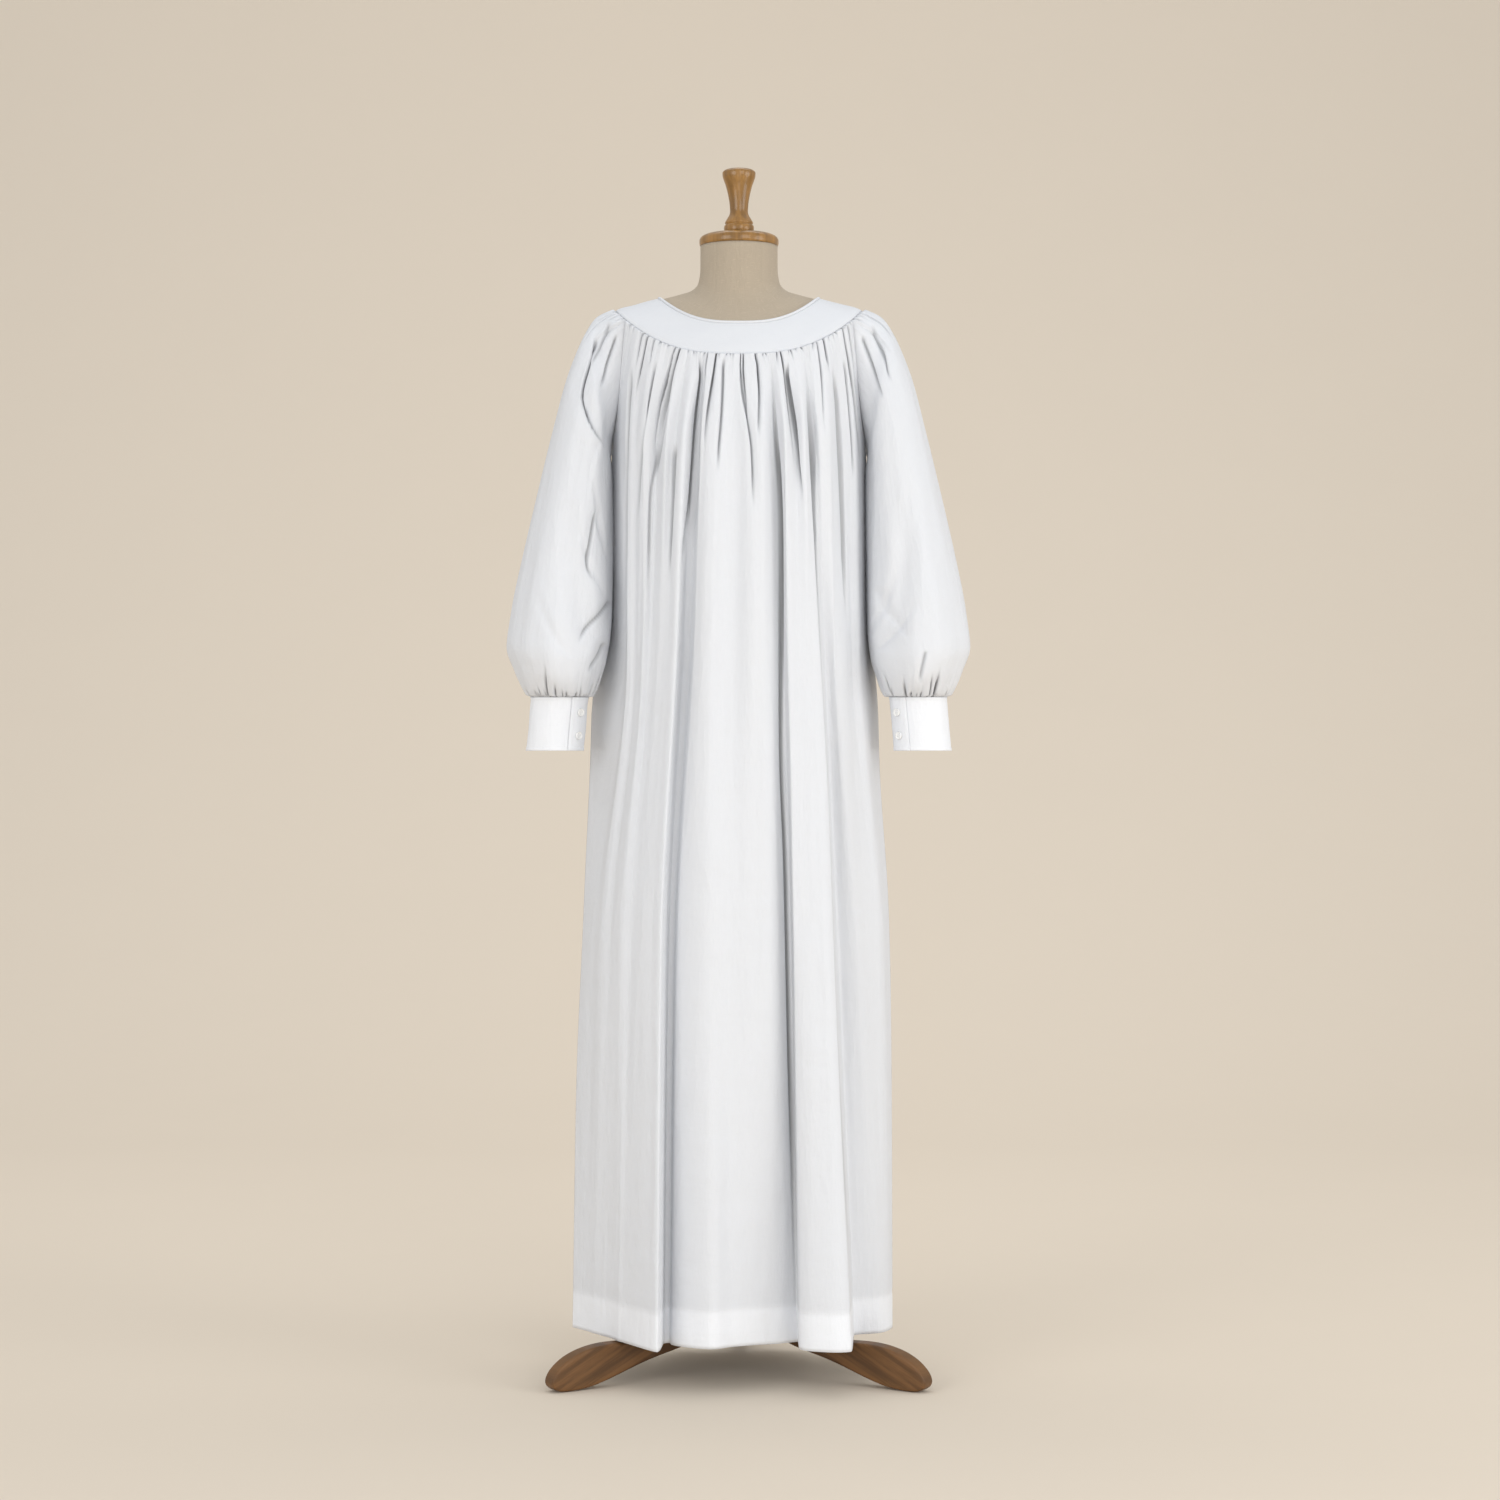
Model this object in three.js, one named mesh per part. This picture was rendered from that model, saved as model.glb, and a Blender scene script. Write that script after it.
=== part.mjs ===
// A rochet, a white gathered vestment with full bishop sleeves and buttoned cuffs, worn by a limbless dress form
// on a wooden tripod stand. Millimetres, +Z up. The front faces -Y, and the left pieces lie on -X.
// The cloth is built as walls: tables hold the lines that its folds follow, and gathers are added to them.
import * as THREE from "three";
import { mergeVertices } from "three/addons/utils/BufferGeometryUtils.js";

// ---- Driving sizes ----
const SEAM_GAP = 0.3; // between pieces that are sewn together
const CLOTH = 1.2; // wall of the body and the sleeves
const YOKE_WALL = 2; // two layers
const YOKE_LIFT = 0.4; // from the form to the yoke that lies on it
const BINDING_WALL = 3;
const BINDING_START = 4.85; // levels of the form between which the neck binding lies
const YOKE_START = 5.01;
const YOKE_END = 7;
const YOKE_SEAM = 1410; // height of the gathered seam at the centre front, and of the sleeves' lowest points
const UNDERARM = 1283;
const HEM = 62;
const SEAM_FALLS = [UNDERARM, 1300, 1320, 1355, 1384, 1402, YOKE_SEAM]; // points of the seams up to the yoke
const SEAM_STEP = 0.3; // from the yoke's outer face in to the outer face of the cloth gathered into it
const LEAVE_SEAM = 24; // height over which the cloth leaves the yoke seam's curve
const RAGLAN = 64; // degrees from the centre front, or the centre back, to where a sleeve begins
const FORM_STEP = 9; // degrees between the form's columns
const RING_RISE = 2.7; // how late a tilted ring climbs from its front to its sides
const PANEL_GATHERS = 32;
const SLEEVE_HEAD_GATHERS = 10;
const CUFF_GATHERS = 16;
const GATHER_HEIGHT = 6; // of a full gather, out from its valleys
const GATHER_SHIFT = 0.24; // how far a gather's valley strays, as a share of the gathers' spacing
const CUFF_HEIGHT = 74;
const CUFF_WALL = 1.8;
const CUFF_SPLAY = 6.5; // how far its lower edge stands out from its upper one
const CUFF_START = 0.05; // place round the wrist where the band begins
const CUFF_LAP = 0.12; // share of the way round that overlaps
const CUFF_LIFT = 0.4; // between the two ends where they overlap
const BUTTON = { radius: 5.5, thick: 2.4, sides: 14, place: 0.11, drops: [21, 53], shank: 0.5 };
const DEG = Math.PI / 180;

// ---- Sections ----
// The form, neck to hips: half width, reach to the front and the back, and the height of each ring at those places.
const FORM_RINGS = [
  { half: 54, front: 54, back: 56, side: 1574.7, fore: 1574.7, rear: 1574.7 },
  { half: 54, front: 54, back: 57, side: 1545, fore: 1542, rear: 1547 },
  { half: 57, front: 57, back: 62, side: 1523, fore: 1510, rear: 1528 },
  { half: 67, front: 64, back: 73, side: 1512, fore: 1490, rear: 1517 },
  { half: 86, front: 74, back: 86, side: 1506, fore: 1474, rear: 1506 },
  { half: 113, front: 87, back: 99, side: 1499, fore: 1455, rear: 1490 },
  { half: 144, front: 100, back: 110, side: 1491, fore: 1434, rear: 1472 },
  { half: 170, front: 110, back: 117, side: 1482, fore: 1411, rear: 1451 },
  { half: 172, front: 105, back: 111, side: 1465, fore: 1388, rear: 1426 },
  { half: 166, front: 102, back: 107, side: 1442, fore: 1360, rear: 1396 },
  { half: 154, front: 97, back: 103, side: 1400, fore: 1330, rear: 1358 },
  { half: 138, front: 92, back: 96, side: 1330, fore: 1285, rear: 1300 },
  { half: 116, front: 76, back: 82, side: 1150, fore: 1150, rear: 1150 },
  { half: 112, front: 72, back: 82, side: 1000, fore: 1000, rear: 1000 },
  { half: 104, front: 68, back: 78, side: 890, fore: 890, rear: 890 },
];
// The edges of the front and the back, by the height of a ring at its centre front: half the distance between them,
// the drift of their middle to +X, how far each panel's edge lies ahead of or behind their own middle until the
// sleeves end, and how far that middle lies behind the axis.
const EDGES = [
  { fall: YOKE_SEAM, half: 155, lean: 0, apart: 51, back: 0 },
  { fall: 1375, half: 160, lean: 0, apart: 46, back: 0 },
  { fall: 1330, half: 168, lean: 0, apart: 32, back: 0 },
  { fall: UNDERARM, half: 178, lean: 0, apart: 0, back: 0 },
  { fall: 1240, half: 179, lean: 0, apart: 0, back: 8 },
  { fall: 1180, half: 181, lean: 0, apart: 0, back: 16 },
  { fall: 1090, half: 183, lean: 0, apart: 0, back: 22 },
  { fall: 1030, half: 187, lean: -1, apart: 0, back: 28 },
  { fall: 980, half: 196, lean: -4, apart: 0, back: 34 },
  { fall: 930, half: 202, lean: -6, apart: 0, back: 36 },
  { fall: 850, half: 204, lean: -6, apart: 0, back: 30 },
  { fall: 650, half: 214, lean: -4, apart: 0, back: 12 },
  { fall: 400, half: 221, lean: -7, apart: 0, back: 4 },
  { fall: HEM, half: 224, lean: -9, apart: 0, back: 0 },
];
// The long folds, from -X to +X: x of each line at the heights in FOLD_HEIGHTS, and y at all of them but the first,
// where every line starts on the yoke seam.
const FOLD_HEIGHTS = [YOKE_SEAM, 1290, 1000, 600, HEM];
const FRONT_FOLDS = [
  { x: [-146, -164, -160, -203, -215], y: [-46, -46, -42, -26] },
  { x: [-137, -155, -152, -190, -199], y: [-72, -74, -70, -50] },
  { x: [-124, -142, -143, -176, -184], y: [-80, -82, -88, -72] },
  { x: [-110, -129, -134, -162, -167], y: [-102, -98, -112, -102] },
  { x: [-89, -111, -123, -148, -154], y: [-98, -96, -106, -112] },
  { x: [-77, -98, -108, -129, -133], y: [-122, -122, -144, -156] },
  { x: [-67, -87, -97, -117, -121], y: [-114, -124, -152, -173] },
  { x: [-58, -75, -85, -105, -109], y: [-131, -137, -164, -187] },
  { x: [-54, -69, -79, -100, -105], y: [-126, -124, -147, -172] },
  { x: [-50, -64, -74, -94, -101], y: [-118, -99, -80, -62] },
  { x: [-46, -59, -69, -89, -95], y: [-119, -99, -80, -64] },
  { x: [-40, -50, -58, -77, -87], y: [-136, -132, -126, -108] },
  { x: [-23, -32, -36, -38, -38], y: [-139, -152, -164, -167] },
  { x: [-4, -10, -12, -12, -8], y: [-133, -145, -156, -150] },
  { x: [12, 12, 14, 16, 20], y: [-139, -149, -153, -136] },
  { x: [27, 32, 36, 42, 50], y: [-136, -144, -142, -112] },
  { x: [42, 51, 58, 69, 79], y: [-121, -122, -110, -78] },
  { x: [51, 63, 68, 76, 82], y: [-137, -144, -158, -163] },
  { x: [64, 79, 84, 94, 103], y: [-121, -137, -160, -184] },
  { x: [76, 90, 98, 113, 130], y: [-127, -137, -160, -191] },
  { x: [88, 101, 112, 129, 151], y: [-112, -127, -150, -184] },
  { x: [98, 109, 120, 139, 160], y: [-115, -104, -88, -60] },
  { x: [114, 125, 133, 160, 182], y: [-108, -102, -86, -52] },
  { x: [130, 143, 150, 182, 200], y: [-74, -74, -66, -40] },
  { x: [144, 161, 166, 199, 209], y: [-62, -58, -46, -24] },
];
const BACK_FOLDS = [
  { x: [-145, -162, -160, -202, -216], y: [52, 48, 40, 24] },
  { x: [-136, -152, -152, -188, -200], y: [62, 60, 52, 44] },
  { x: [-120, -136, -140, -170, -182], y: [94, 94, 96, 88] },
  { x: [-104, -120, -126, -150, -160], y: [98, 92, 96, 92] },
  { x: [-90, -105, -112, -130, -138], y: [122, 120, 134, 148] },
  { x: [-76, -90, -98, -112, -118], y: [114, 98, 76, 50] },
  { x: [-64, -76, -82, -96, -104], y: [134, 132, 138, 150] },
  { x: [-48, -58, -64, -74, -80], y: [132, 142, 158, 172] },
  { x: [-33, -39, -42, -48, -52], y: [127, 134, 142, 150] },
  { x: [-17, -19, -20, -22, -24], y: [144, 150, 164, 172] },
  { x: [-4, -3, -2, -2, -2], y: [130, 124, 116, 108] },
  { x: [10, 13, 16, 17, 17], y: [143, 146, 150, 148] },
  { x: [27, 32, 36, 40, 44], y: [138, 150, 164, 176] },
  { x: [43, 52, 56, 64, 70], y: [124, 136, 148, 160] },
  { x: [58, 68, 74, 84, 92], y: [134, 138, 152, 164] },
  { x: [70, 82, 90, 100, 108], y: [112, 94, 66, 34] },
  { x: [84, 97, 104, 116, 124], y: [123, 120, 124, 136] },
  { x: [100, 113, 120, 136, 146], y: [102, 104, 112, 120] },
  { x: [116, 130, 136, 158, 170], y: [98, 94, 96, 92] },
  { x: [130, 145, 150, 176, 192], y: [70, 70, 62, 56] },
  { x: [144, 161, 164, 197, 208], y: [56, 50, 44, 26] },
];

// A sleeve below its armhole, for the arm on +X: the outer and inner ends of each ring and their heights, its reach
// to the front and back, and how far its middle lies in front of the axis.
const SLEEVE_RINGS = [
  { outer: 196, high: 1474, inner: 182, low: 1279, reach: 60, ahead: -1 },
  { outer: 216, high: 1450, inner: 181.5, low: 1254, reach: 74, ahead: 0 },
  { outer: 240, high: 1396, inner: 181, low: 1218, reach: 80, ahead: 2 },
  { outer: 262, high: 1312, inner: 181, low: 1165, reach: 81, ahead: 6 },
  { outer: 283, high: 1222, inner: 181, low: 1110, reach: 82, ahead: 11 },
  { outer: 301, high: 1140, inner: 182, low: 1062, reach: 84, ahead: 16 },
  { outer: 315, high: 1068, inner: 184, low: 1024, reach: 86, ahead: 20 },
  { outer: 321, high: 1016, inner: 188, low: 996, reach: 84, ahead: 24 },
  { outer: 312, high: 982, inner: 194, low: 972, reach: 74, ahead: 27 },
  { outer: 298, high: 957, inner: 203, low: 952, reach: 54, ahead: 29 },
];
const CUFF = { outer: 289, inner: 210, reach: 36, ahead: 30, top: 943 };
// Creases of each sleeve: from and to are levels down it, start and end places round it (0 the inner side, 0.25 the
// front, 0.5 the outer side), in the depth, and reach half the width as a share of the way round.
const SLEEVE_CREASES = {
  left: [
    { from: 0.8, to: 4.4, start: 0.42, end: 0.3, in: 9, reach: 0.07 },
    { from: 2.6, to: 5.4, start: 0.33, end: 0.2, in: 9, reach: 0.07 },
    { from: 4.4, to: 7.6, start: 0.27, end: 0.14, in: 11, reach: 0.08 },
    { from: 5.6, to: 8.8, start: 0.16, end: 0.1, in: 8, reach: 0.07 },
    { from: 2.4, to: 6.2, start: 0.64, end: 0.8, in: 9, reach: 0.08 },
    { from: 4.8, to: 8.4, start: 0.72, end: 0.86, in: 8, reach: 0.08 },
  ],
  right: [
    { from: 0.8, to: 3.8, start: 0.4, end: 0.33, in: 7, reach: 0.07 },
    { from: 4.2, to: 7.8, start: 0.28, end: 0.13, in: 12, reach: 0.08 },
    { from: 3.4, to: 7.2, start: 0.38, end: 0.28, in: 6, reach: 0.08 },
    { from: 2.0, to: 5.8, start: 0.62, end: 0.78, in: 9, reach: 0.08 },
    { from: 5.0, to: 8.6, start: 0.7, end: 0.86, in: 8, reach: 0.08 },
  ],
};

// ---- The stand ----
const FINIAL = [
  [0, 1683.4], [14, 1682.9], [20.5, 1681], [23.3, 1677.5], [23, 1673], [21.6, 1668], [19, 1661], [15.8, 1649],
  [13.2, 1634], [12.6, 1624], [13.6, 1619], [17, 1613], [19.8, 1607.6], [18.8, 1605.2], [20.8, 1603], [21, 1598.5],
  [20, 1594.3], [0, 1594.3],
];
const NECK_CAP = [
  [0, 1594], [32, 1593], [47, 1590.5], [53.5, 1587], [55.5, 1583], [55.5, 1578.5], [53.5, 1575], [0, 1575],
];
const HUB = [[0, 189.7], [19, 189.7], [25, 184], [26, 178], [26, 104], [23, 96], [0, 92]];
const POLE = [[0, 889.7], [14, 889.7], [14, 190], [0, 190]];
const LEG = {
  width: 26,
  outline: [
    [26.5, 112], [46, 72], [74, 52], [100, 43], [130, 37], [158, 29], [186, 19], [212, 10], [236, 3], [257, 0],
    [288, 0], [296, 7], [297, 18], [288, 32], [268, 46], [246, 54], [220, 59], [190, 59.5], [160, 58], [112, 58],
    [84, 70], [58, 100], [38, 146], [26.5, 172],
  ],
};

const MATERIALS = {
  cotton: { color: 0xf3f4f6, roughness: 0.9, metalness: 0 },
  yoke: { color: 0xeff0f2, roughness: 0.9, metalness: 0 },
  linen: { color: 0xbfb09a, roughness: 0.95, metalness: 0 },
  turnedWood: { color: 0xa8743c, roughness: 0.35, metalness: 0 },
  standWood: { color: 0x5e4430, roughness: 0.55, metalness: 0 },
  button: { color: 0xf4f4f2, roughness: 0.3, metalness: 0 },
};

// ---- Numbers between the rows of a table ----
const clamp = (value, low, high) => Math.min(high, Math.max(low, value));
const smooth = (s) => {
  const t = clamp(s, 0, 1);
  return t * t * (3 - 2 * t);
};

// A column of numbers at a place between its rows, by a cubic through them that never overshoots.
function along(places, values, at) {
  const last = places.length - 1;
  const way = Math.sign(places[last] - places[0]);
  let i = 0;
  while (i < last - 1 && (at - places[i + 1]) * way > 0) i++;
  const chord = (k) => (values[k + 1] - values[k]) / (places[k + 1] - places[k]);
  const slope = (k) => {
    if (k === 0) return chord(0);
    if (k === last) return chord(last - 1);
    const before = chord(k - 1);
    const after = chord(k);
    return before * after <= 0 ? 0 : (2 * before * after) / (before + after);
  };
  const step = places[i + 1] - places[i];
  const s = clamp((at - places[i]) / step, 0, 1);
  const ease = s * s * (3 - 2 * s);
  const bend = step * s * (1 - s) * (slope(i) * (1 - s) - slope(i + 1) * s);
  return values[i] + (values[i + 1] - values[i]) * ease + bend;
}

// All of a table's columns at a place along one of them, or at a level counted in its rows.
function section(table, key, at) {
  const places = table.map((row, i) => (key ? row[key] : i));
  const column = (name) => [name, along(places, table.map((row) => row[name]), at)];
  return Object.fromEntries(Object.keys(table[0]).map(column));
}

// How much of a crease's depth is left at a distance from its line, as a share of its reach.
const flank = (share) => 1 - smooth(Math.abs(share));

// ---- Gathers ----
// A gathered strip: the places of its valleys, and how full each gather between them is.
function gathered(count, seed) {
  const shift = (i) => (i === 0 || i === count ? 0 : GATHER_SHIFT * Math.sin(seed + i * 2.63));
  const full = (i) => (i === 0 || i === count - 1 ? 0.3 : 0.74 + 0.26 * Math.sin(seed * 2 + i * 1.91));
  return {
    valleys: Array.from({ length: count + 1 }, (_, i) => (i + shift(i)) / count),
    fullness: Array.from({ length: count }, (_, i) => full(i)),
  };
}

// How far a gathered strip stands out at a place along it: 0 in each valley, 1 on a full crest.
function crestAt({ valleys, fullness }, place) {
  const last = fullness.length - 1;
  let i = 0;
  while (i < last && valleys[i + 1] <= place) i++;
  const s = clamp((place - valleys[i]) / (valleys[i + 1] - valleys[i]), 0, 1);
  return fullness[i] * Math.sin(Math.PI * s);
}

// Places along a gathered strip, at its valleys and some points on each crest.
function gatherPlaces({ valleys, fullness }, perGather) {
  const between = (i, k) => valleys[i] + ((valleys[i + 1] - valleys[i]) * k) / perGather;
  const places = fullness.flatMap((_, i) => Array.from({ length: perGather }, (_, k) => between(i, k)));
  return [...places, 1];
}

// ---- Solids from rows of points ----
function geometryOf(points, triangles) {
  const geometry = new THREE.BufferGeometry();
  const numbers = points.flatMap((point) => point.toArray());
  geometry.setAttribute("position", new THREE.Float32BufferAttribute(numbers, 3));
  geometry.setIndex(triangles);
  geometry.computeVertexNormals();
  return geometry;
}

// Triangles between two rows that may have different numbers of points.
function stitch(upper, lower, closed, add) {
  const steps = (row) => (closed ? row.ids.length : row.ids.length - 1);
  const placeOf = ({ places }, i) => (i < places.length ? places[i] : places[i - places.length] + 1);
  const middle = (row, i) => (i < steps(row) ? placeOf(row, i) + placeOf(row, i + 1) : Infinity);
  const id = (row, i) => row.ids[i % row.ids.length];
  let i = 0;
  let k = 0;
  while (i < steps(upper) || k < steps(lower)) {
    if (middle(upper, i) <= middle(lower, k)) {
      add(id(upper, i), id(lower, k), id(upper, i + 1));
      i++;
    } else {
      add(id(upper, i), id(lower, k), id(lower, k + 1));
      k++;
    }
  }
}

// A cloth wall. surface(place, fall) is its outer face, rows lists each fall with the places of its points, and
// edgeOut(place, fall) is the way out of the wall along its edges, where it meets another piece.
function clothWall({ surface, rows, closed = false, thick, edgeOut }) {
  const points = [];
  const outer = [];
  const inner = [];
  rows.forEach(({ fall, places }, r) => {
    const line = places.map((place) => surface(place, fall));
    const count = line.length;
    const step = ((rows[r + 1] ?? rows[r]).fall - (rows[r - 1] ?? rows[r]).fall) * 0.02;
    const out = places.map((place, i) => {
      const isEdge = r === 0 || r === rows.length - 1 || (!closed && (i === 0 || i === count - 1));
      if (isEdge) return edgeOut(place, fall);
      const down = surface(place, fall + step).sub(surface(place, fall - step));
      const sides = [line[(i + count - 1) % count], line[(i + 1) % count]];
      const [before, after] = sides.map((point, k) => point.clone().sub(line[i]).multiplyScalar(k ? 1 : -1));
      const faces = [before, after].map((side) => down.clone().cross(side).normalize());
      const half = faces[0].clone().add(faces[1]).multiplyScalar(0.5);
      return half.multiplyScalar(1 / Math.max(half.lengthSq(), 0.4));
    });
    outer.push({ places, ids: line.map((point) => points.push(point) - 1) });
    inner.push({
      places,
      ids: line.map((point, i) => points.push(point.clone().addScaledVector(out[i], -thick)) - 1),
    });
  });
  const triangles = [];
  for (let r = 0; r + 1 < rows.length; r++) {
    stitch(outer[r], outer[r + 1], closed, (a, b, c) => triangles.push(a, b, c));
    stitch(inner[r], inner[r + 1], closed, (a, b, c) => triangles.push(a, c, b));
  }
  const strip = (a, b) => {
    for (let i = 0; i + 1 < a.length; i++) triangles.push(a[i], a[i + 1], b[i + 1], a[i], b[i + 1], b[i]);
  };
  const ring = (ids) => (closed ? [...ids, ids[0]] : ids);
  strip(ring(outer[0].ids), ring(inner[0].ids));
  strip(ring(inner.at(-1).ids), ring(outer.at(-1).ids));
  if (!closed) {
    const side = (rows, end) => rows.map(({ ids }) => ids.at(end));
    strip(side(inner, 0), side(outer, 0));
    strip(side(outer, -1), side(inner, -1));
  }
  return geometryOf(points, triangles);
}

// A solid through closed rings of equal counts, from its top down, with both ends capped.
function ringSolid(rings) {
  const count = rings[0].length;
  const points = rings.flat();
  const triangles = [];
  for (let r = 0; r + 1 < rings.length; r++)
    for (let i = 0; i < count; i++) {
      const a = r * count + i;
      const b = r * count + ((i + 1) % count);
      triangles.push(a, a + count, b, b, a + count, b + count);
    }
  const middle = (ring) => ring.reduce((sum, p) => sum.add(p), new THREE.Vector3()).divideScalar(count);
  const top = points.push(middle(rings[0])) - 1;
  const foot = points.push(middle(rings.at(-1))) - 1;
  const last = (rings.length - 1) * count;
  for (let i = 0; i < count; i++) {
    const j = (i + 1) % count;
    triangles.push(top, i, j, foot, last + j, last + i);
  }
  return geometryOf(points, triangles);
}

// A turned solid from [radius, height] pairs, the first and last of them on the axis.
function turned(profile, sides) {
  const rings = profile.slice(1, -1).map(([radius, height]) =>
    Array.from({ length: sides }, (_, i) => {
      const angle = (2 * Math.PI * i) / sides;
      return new THREE.Vector3(radius * Math.sin(angle), -radius * Math.cos(angle), height);
    }),
  );
  const geometry = ringSolid(rings);
  const positions = geometry.getAttribute("position");
  const count = positions.count;
  positions.setXYZ(count - 2, 0, 0, profile[0][1]);
  positions.setXYZ(count - 1, 0, 0, profile.at(-1)[1]);
  geometry.computeVertexNormals();
  return geometry;
}

// ---- The form's surface, which the yoke lies on ----
function onForm(degrees, level, lift = 0) {
  const place = (turn, at) => {
    const ring = section(FORM_RINGS, null, at);
    const s = Math.sin(turn * DEG);
    const c = Math.cos(turn * DEG);
    const middle = c > 0 ? ring.fore : ring.rear;
    const rise = Math.abs(s) ** RING_RISE;
    const reach = c > 0 ? ring.front : ring.back;
    return new THREE.Vector3(ring.half * s, -reach * c, middle + (ring.side - middle) * rise);
  };
  const point = place(degrees, level);
  if (!lift) return point;
  return point.addScaledVector(formNormal(place, degrees, level), lift);
}

function formNormal(place, degrees, level) {
  const down = place(degrees, level + 0.01).sub(place(degrees, level - 0.01));
  const turn = place(degrees + 0.01, level).sub(place(degrees - 0.01, level));
  return down.cross(turn).normalize();
}

const outOfForm = (degrees, level) => onForm(degrees, level, 1).sub(onForm(degrees, level));

// The outer face of what is gathered into the yoke, at its sewn edge.
function yokeSeam(degrees) {
  const seam = onForm(degrees, YOKE_END, YOKE_LIFT + YOKE_WALL - SEAM_STEP);
  const down = onForm(degrees, YOKE_END + 0.01, 1).sub(onForm(degrees, YOKE_END, 1)).normalize();
  return seam.addScaledVector(down, SEAM_GAP);
}

function formSolid() {
  const levels = [0, 1, 2, 3, 4, 4.5, 5, 5.5, 6, 6.5, 7, 7.5, 8, 9, 10, 11, 12, 13, 14];
  const turns = Array.from({ length: 360 / FORM_STEP }, (_, i) => i * FORM_STEP);
  return ringSolid(levels.map((level) => turns.map((degrees) => onForm(degrees, level))));
}

// A part of the yoke or its binding, between two levels of the form and two angles from the centre front.
function onYoke({ levels, from, to, wall, isRing = false }) {
  const gap = isRing ? 0 : SEAM_GAP / 2 / FORM_RINGS[YOKE_END].half / DEG;
  const turnAt = (place) => clamp(from + (to - from) * place, from + gap, to - gap);
  const placesOf = (level) => {
    const columns = Math.round((to - from) / FORM_STEP) * (level === YOKE_END ? 3 : 1);
    return Array.from({ length: isRing ? columns : columns + 1 }, (_, i) => i / columns);
  };
  return clothWall({
    surface: (place, level) => onForm(turnAt(place), level, YOKE_LIFT + wall),
    rows: levels.map((fall) => ({ fall, places: placesOf(fall) })),
    closed: isRing,
    thick: wall,
    edgeOut: (place, level) => outOfForm(turnAt(place), level),
  });
}

// ---- The front and the back ----
// How far a ring climbs above its centre front, at an angle on the yoke seam: nothing from the underarm down.
function climb(degrees, fall) {
  const above = clamp((fall - UNDERARM) / (YOKE_SEAM - UNDERARM), 0, 1);
  return (yokeSeam(degrees).z - YOKE_SEAM) * above;
}

// How far the cloth has left the yoke seam's curve for its own at a height.
const leaveSeam = (fall) => smooth((YOKE_SEAM - fall) / LEAVE_SEAM);

// The edge of the front or the back at a height: where it hangs, where it lies once it is drawn to the yoke seam,
// and the way out of the cloth.
function panelEdge(fall, isBack, side) {
  const row = section(EDGES, "fall", fall);
  const corner = isBack ? 180 - RAGLAN : RAGLAN;
  const apart = Math.max(row.apart, SEAM_GAP / 2) * (isBack ? 1 : -1);
  const hung = new THREE.Vector3(row.half * side + row.lean, row.back + apart, fall + climb(corner, fall));
  const seam = yokeSeam(corner);
  seam.x *= side;
  const point = seam.lerp(hung, leaveSeam(fall));
  const below = smooth((YOKE_SEAM - fall) / (YOKE_SEAM - UNDERARM));
  const out = outOfForm(corner, YOKE_END).lerp(new THREE.Vector3(1, 0, 0), below).normalize();
  out.x *= side;
  return { hung, point, out };
}

// The places of a panel's long folds between its edges, and their angles from the middle on the yoke seam.
function foldLines(folds) {
  const angles = folds.map(({ x }) => Math.asin(x[0] / FORM_RINGS[YOKE_END].half) / DEG);
  return { angles, places: [0, ...angles.map((angle) => (angle + RAGLAN) / (2 * RAGLAN)), 1] };
}

// The outer face of the front or the back, by the place across it: 0 is the edge on the left for someone who looks
// at that face.
function panelSurface(folds, gathers, isBack) {
  const { angles, places } = foldLines(folds);
  const rows = new Map();
  const rowAt = (fall) => {
    if (!rows.has(fall)) {
      const edges = [-1, 1].map((side) => panelEdge(fall, isBack, side).hung);
      const lines = folds.map(({ x, y }, i) => {
        const seam = yokeSeam(isBack ? 180 - angles[i] : angles[i]);
        return {
          x: along(FOLD_HEIGHTS, [seam.x, ...x.slice(1)], fall),
          y: along(FOLD_HEIGHTS, [seam.y, ...y], fall),
        };
      });
      const all = [edges[0], ...lines, edges[1]];
      rows.set(fall, { x: all.map((p) => p.x), y: all.map((p) => p.y) });
    }
    return rows.get(fall);
  };
  const base = (place, fall) => {
    const row = rowAt(fall);
    const turn = -RAGLAN + 2 * RAGLAN * place;
    const degrees = isBack ? 180 - turn : turn;
    const hung = new THREE.Vector3(
      along(places, row.x, place),
      along(places, row.y, place),
      fall + climb(degrees, fall),
    );
    return yokeSeam(degrees).lerp(hung, leaveSeam(fall));
  };
  return (across, fall) => {
    const place = isBack ? 1 - across : across;
    const point = base(place, fall);
    const drop = YOKE_SEAM - fall;
    const full = 0.3 + 0.7 * smooth(drop / 9);
    const fade = 1 - smooth((drop - 20) / (95 + 50 * Math.sin(place * 61)));
    if (fade === 0) return point;
    const degrees = -RAGLAN + 2 * RAGLAN * place;
    const out = outOfForm(isBack ? 180 - degrees : degrees, YOKE_END);
    out.z *= 1 - smooth(drop / 60);
    return point.addScaledVector(out.normalize(), crestAt(gathers, place) * GATHER_HEIGHT * full * fade);
  };
}

// Falls and places of a panel: close gathers under the yoke, fewer points below them, then only the long folds.
function panelRows(gathers, folds, isBack) {
  const fine = gatherPlaces(gathers, 3);
  const middle = gatherPlaces(gathers, 2);
  const lines = foldLines(folds).places;
  const long = lines.flatMap((place, i) => (i ? [(place + lines[i - 1]) / 2, place] : [place]));
  const seam = [fine, fine, fine, middle, middle, middle, long];
  const upper = [...SEAM_FALLS].reverse().map((fall, i) => ({ fall, places: seam[i] }));
  const lower = [1220, 1120, 1030, 960, 860, 680, 480, 270, HEM].map((fall) => ({ fall, places: long }));
  const turnedRound = (places) => places.map((place) => 1 - place).reverse();
  return [...upper, ...lower].map(({ fall, places }) => ({ fall, places: isBack ? turnedRound(places) : places }));
}

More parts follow.
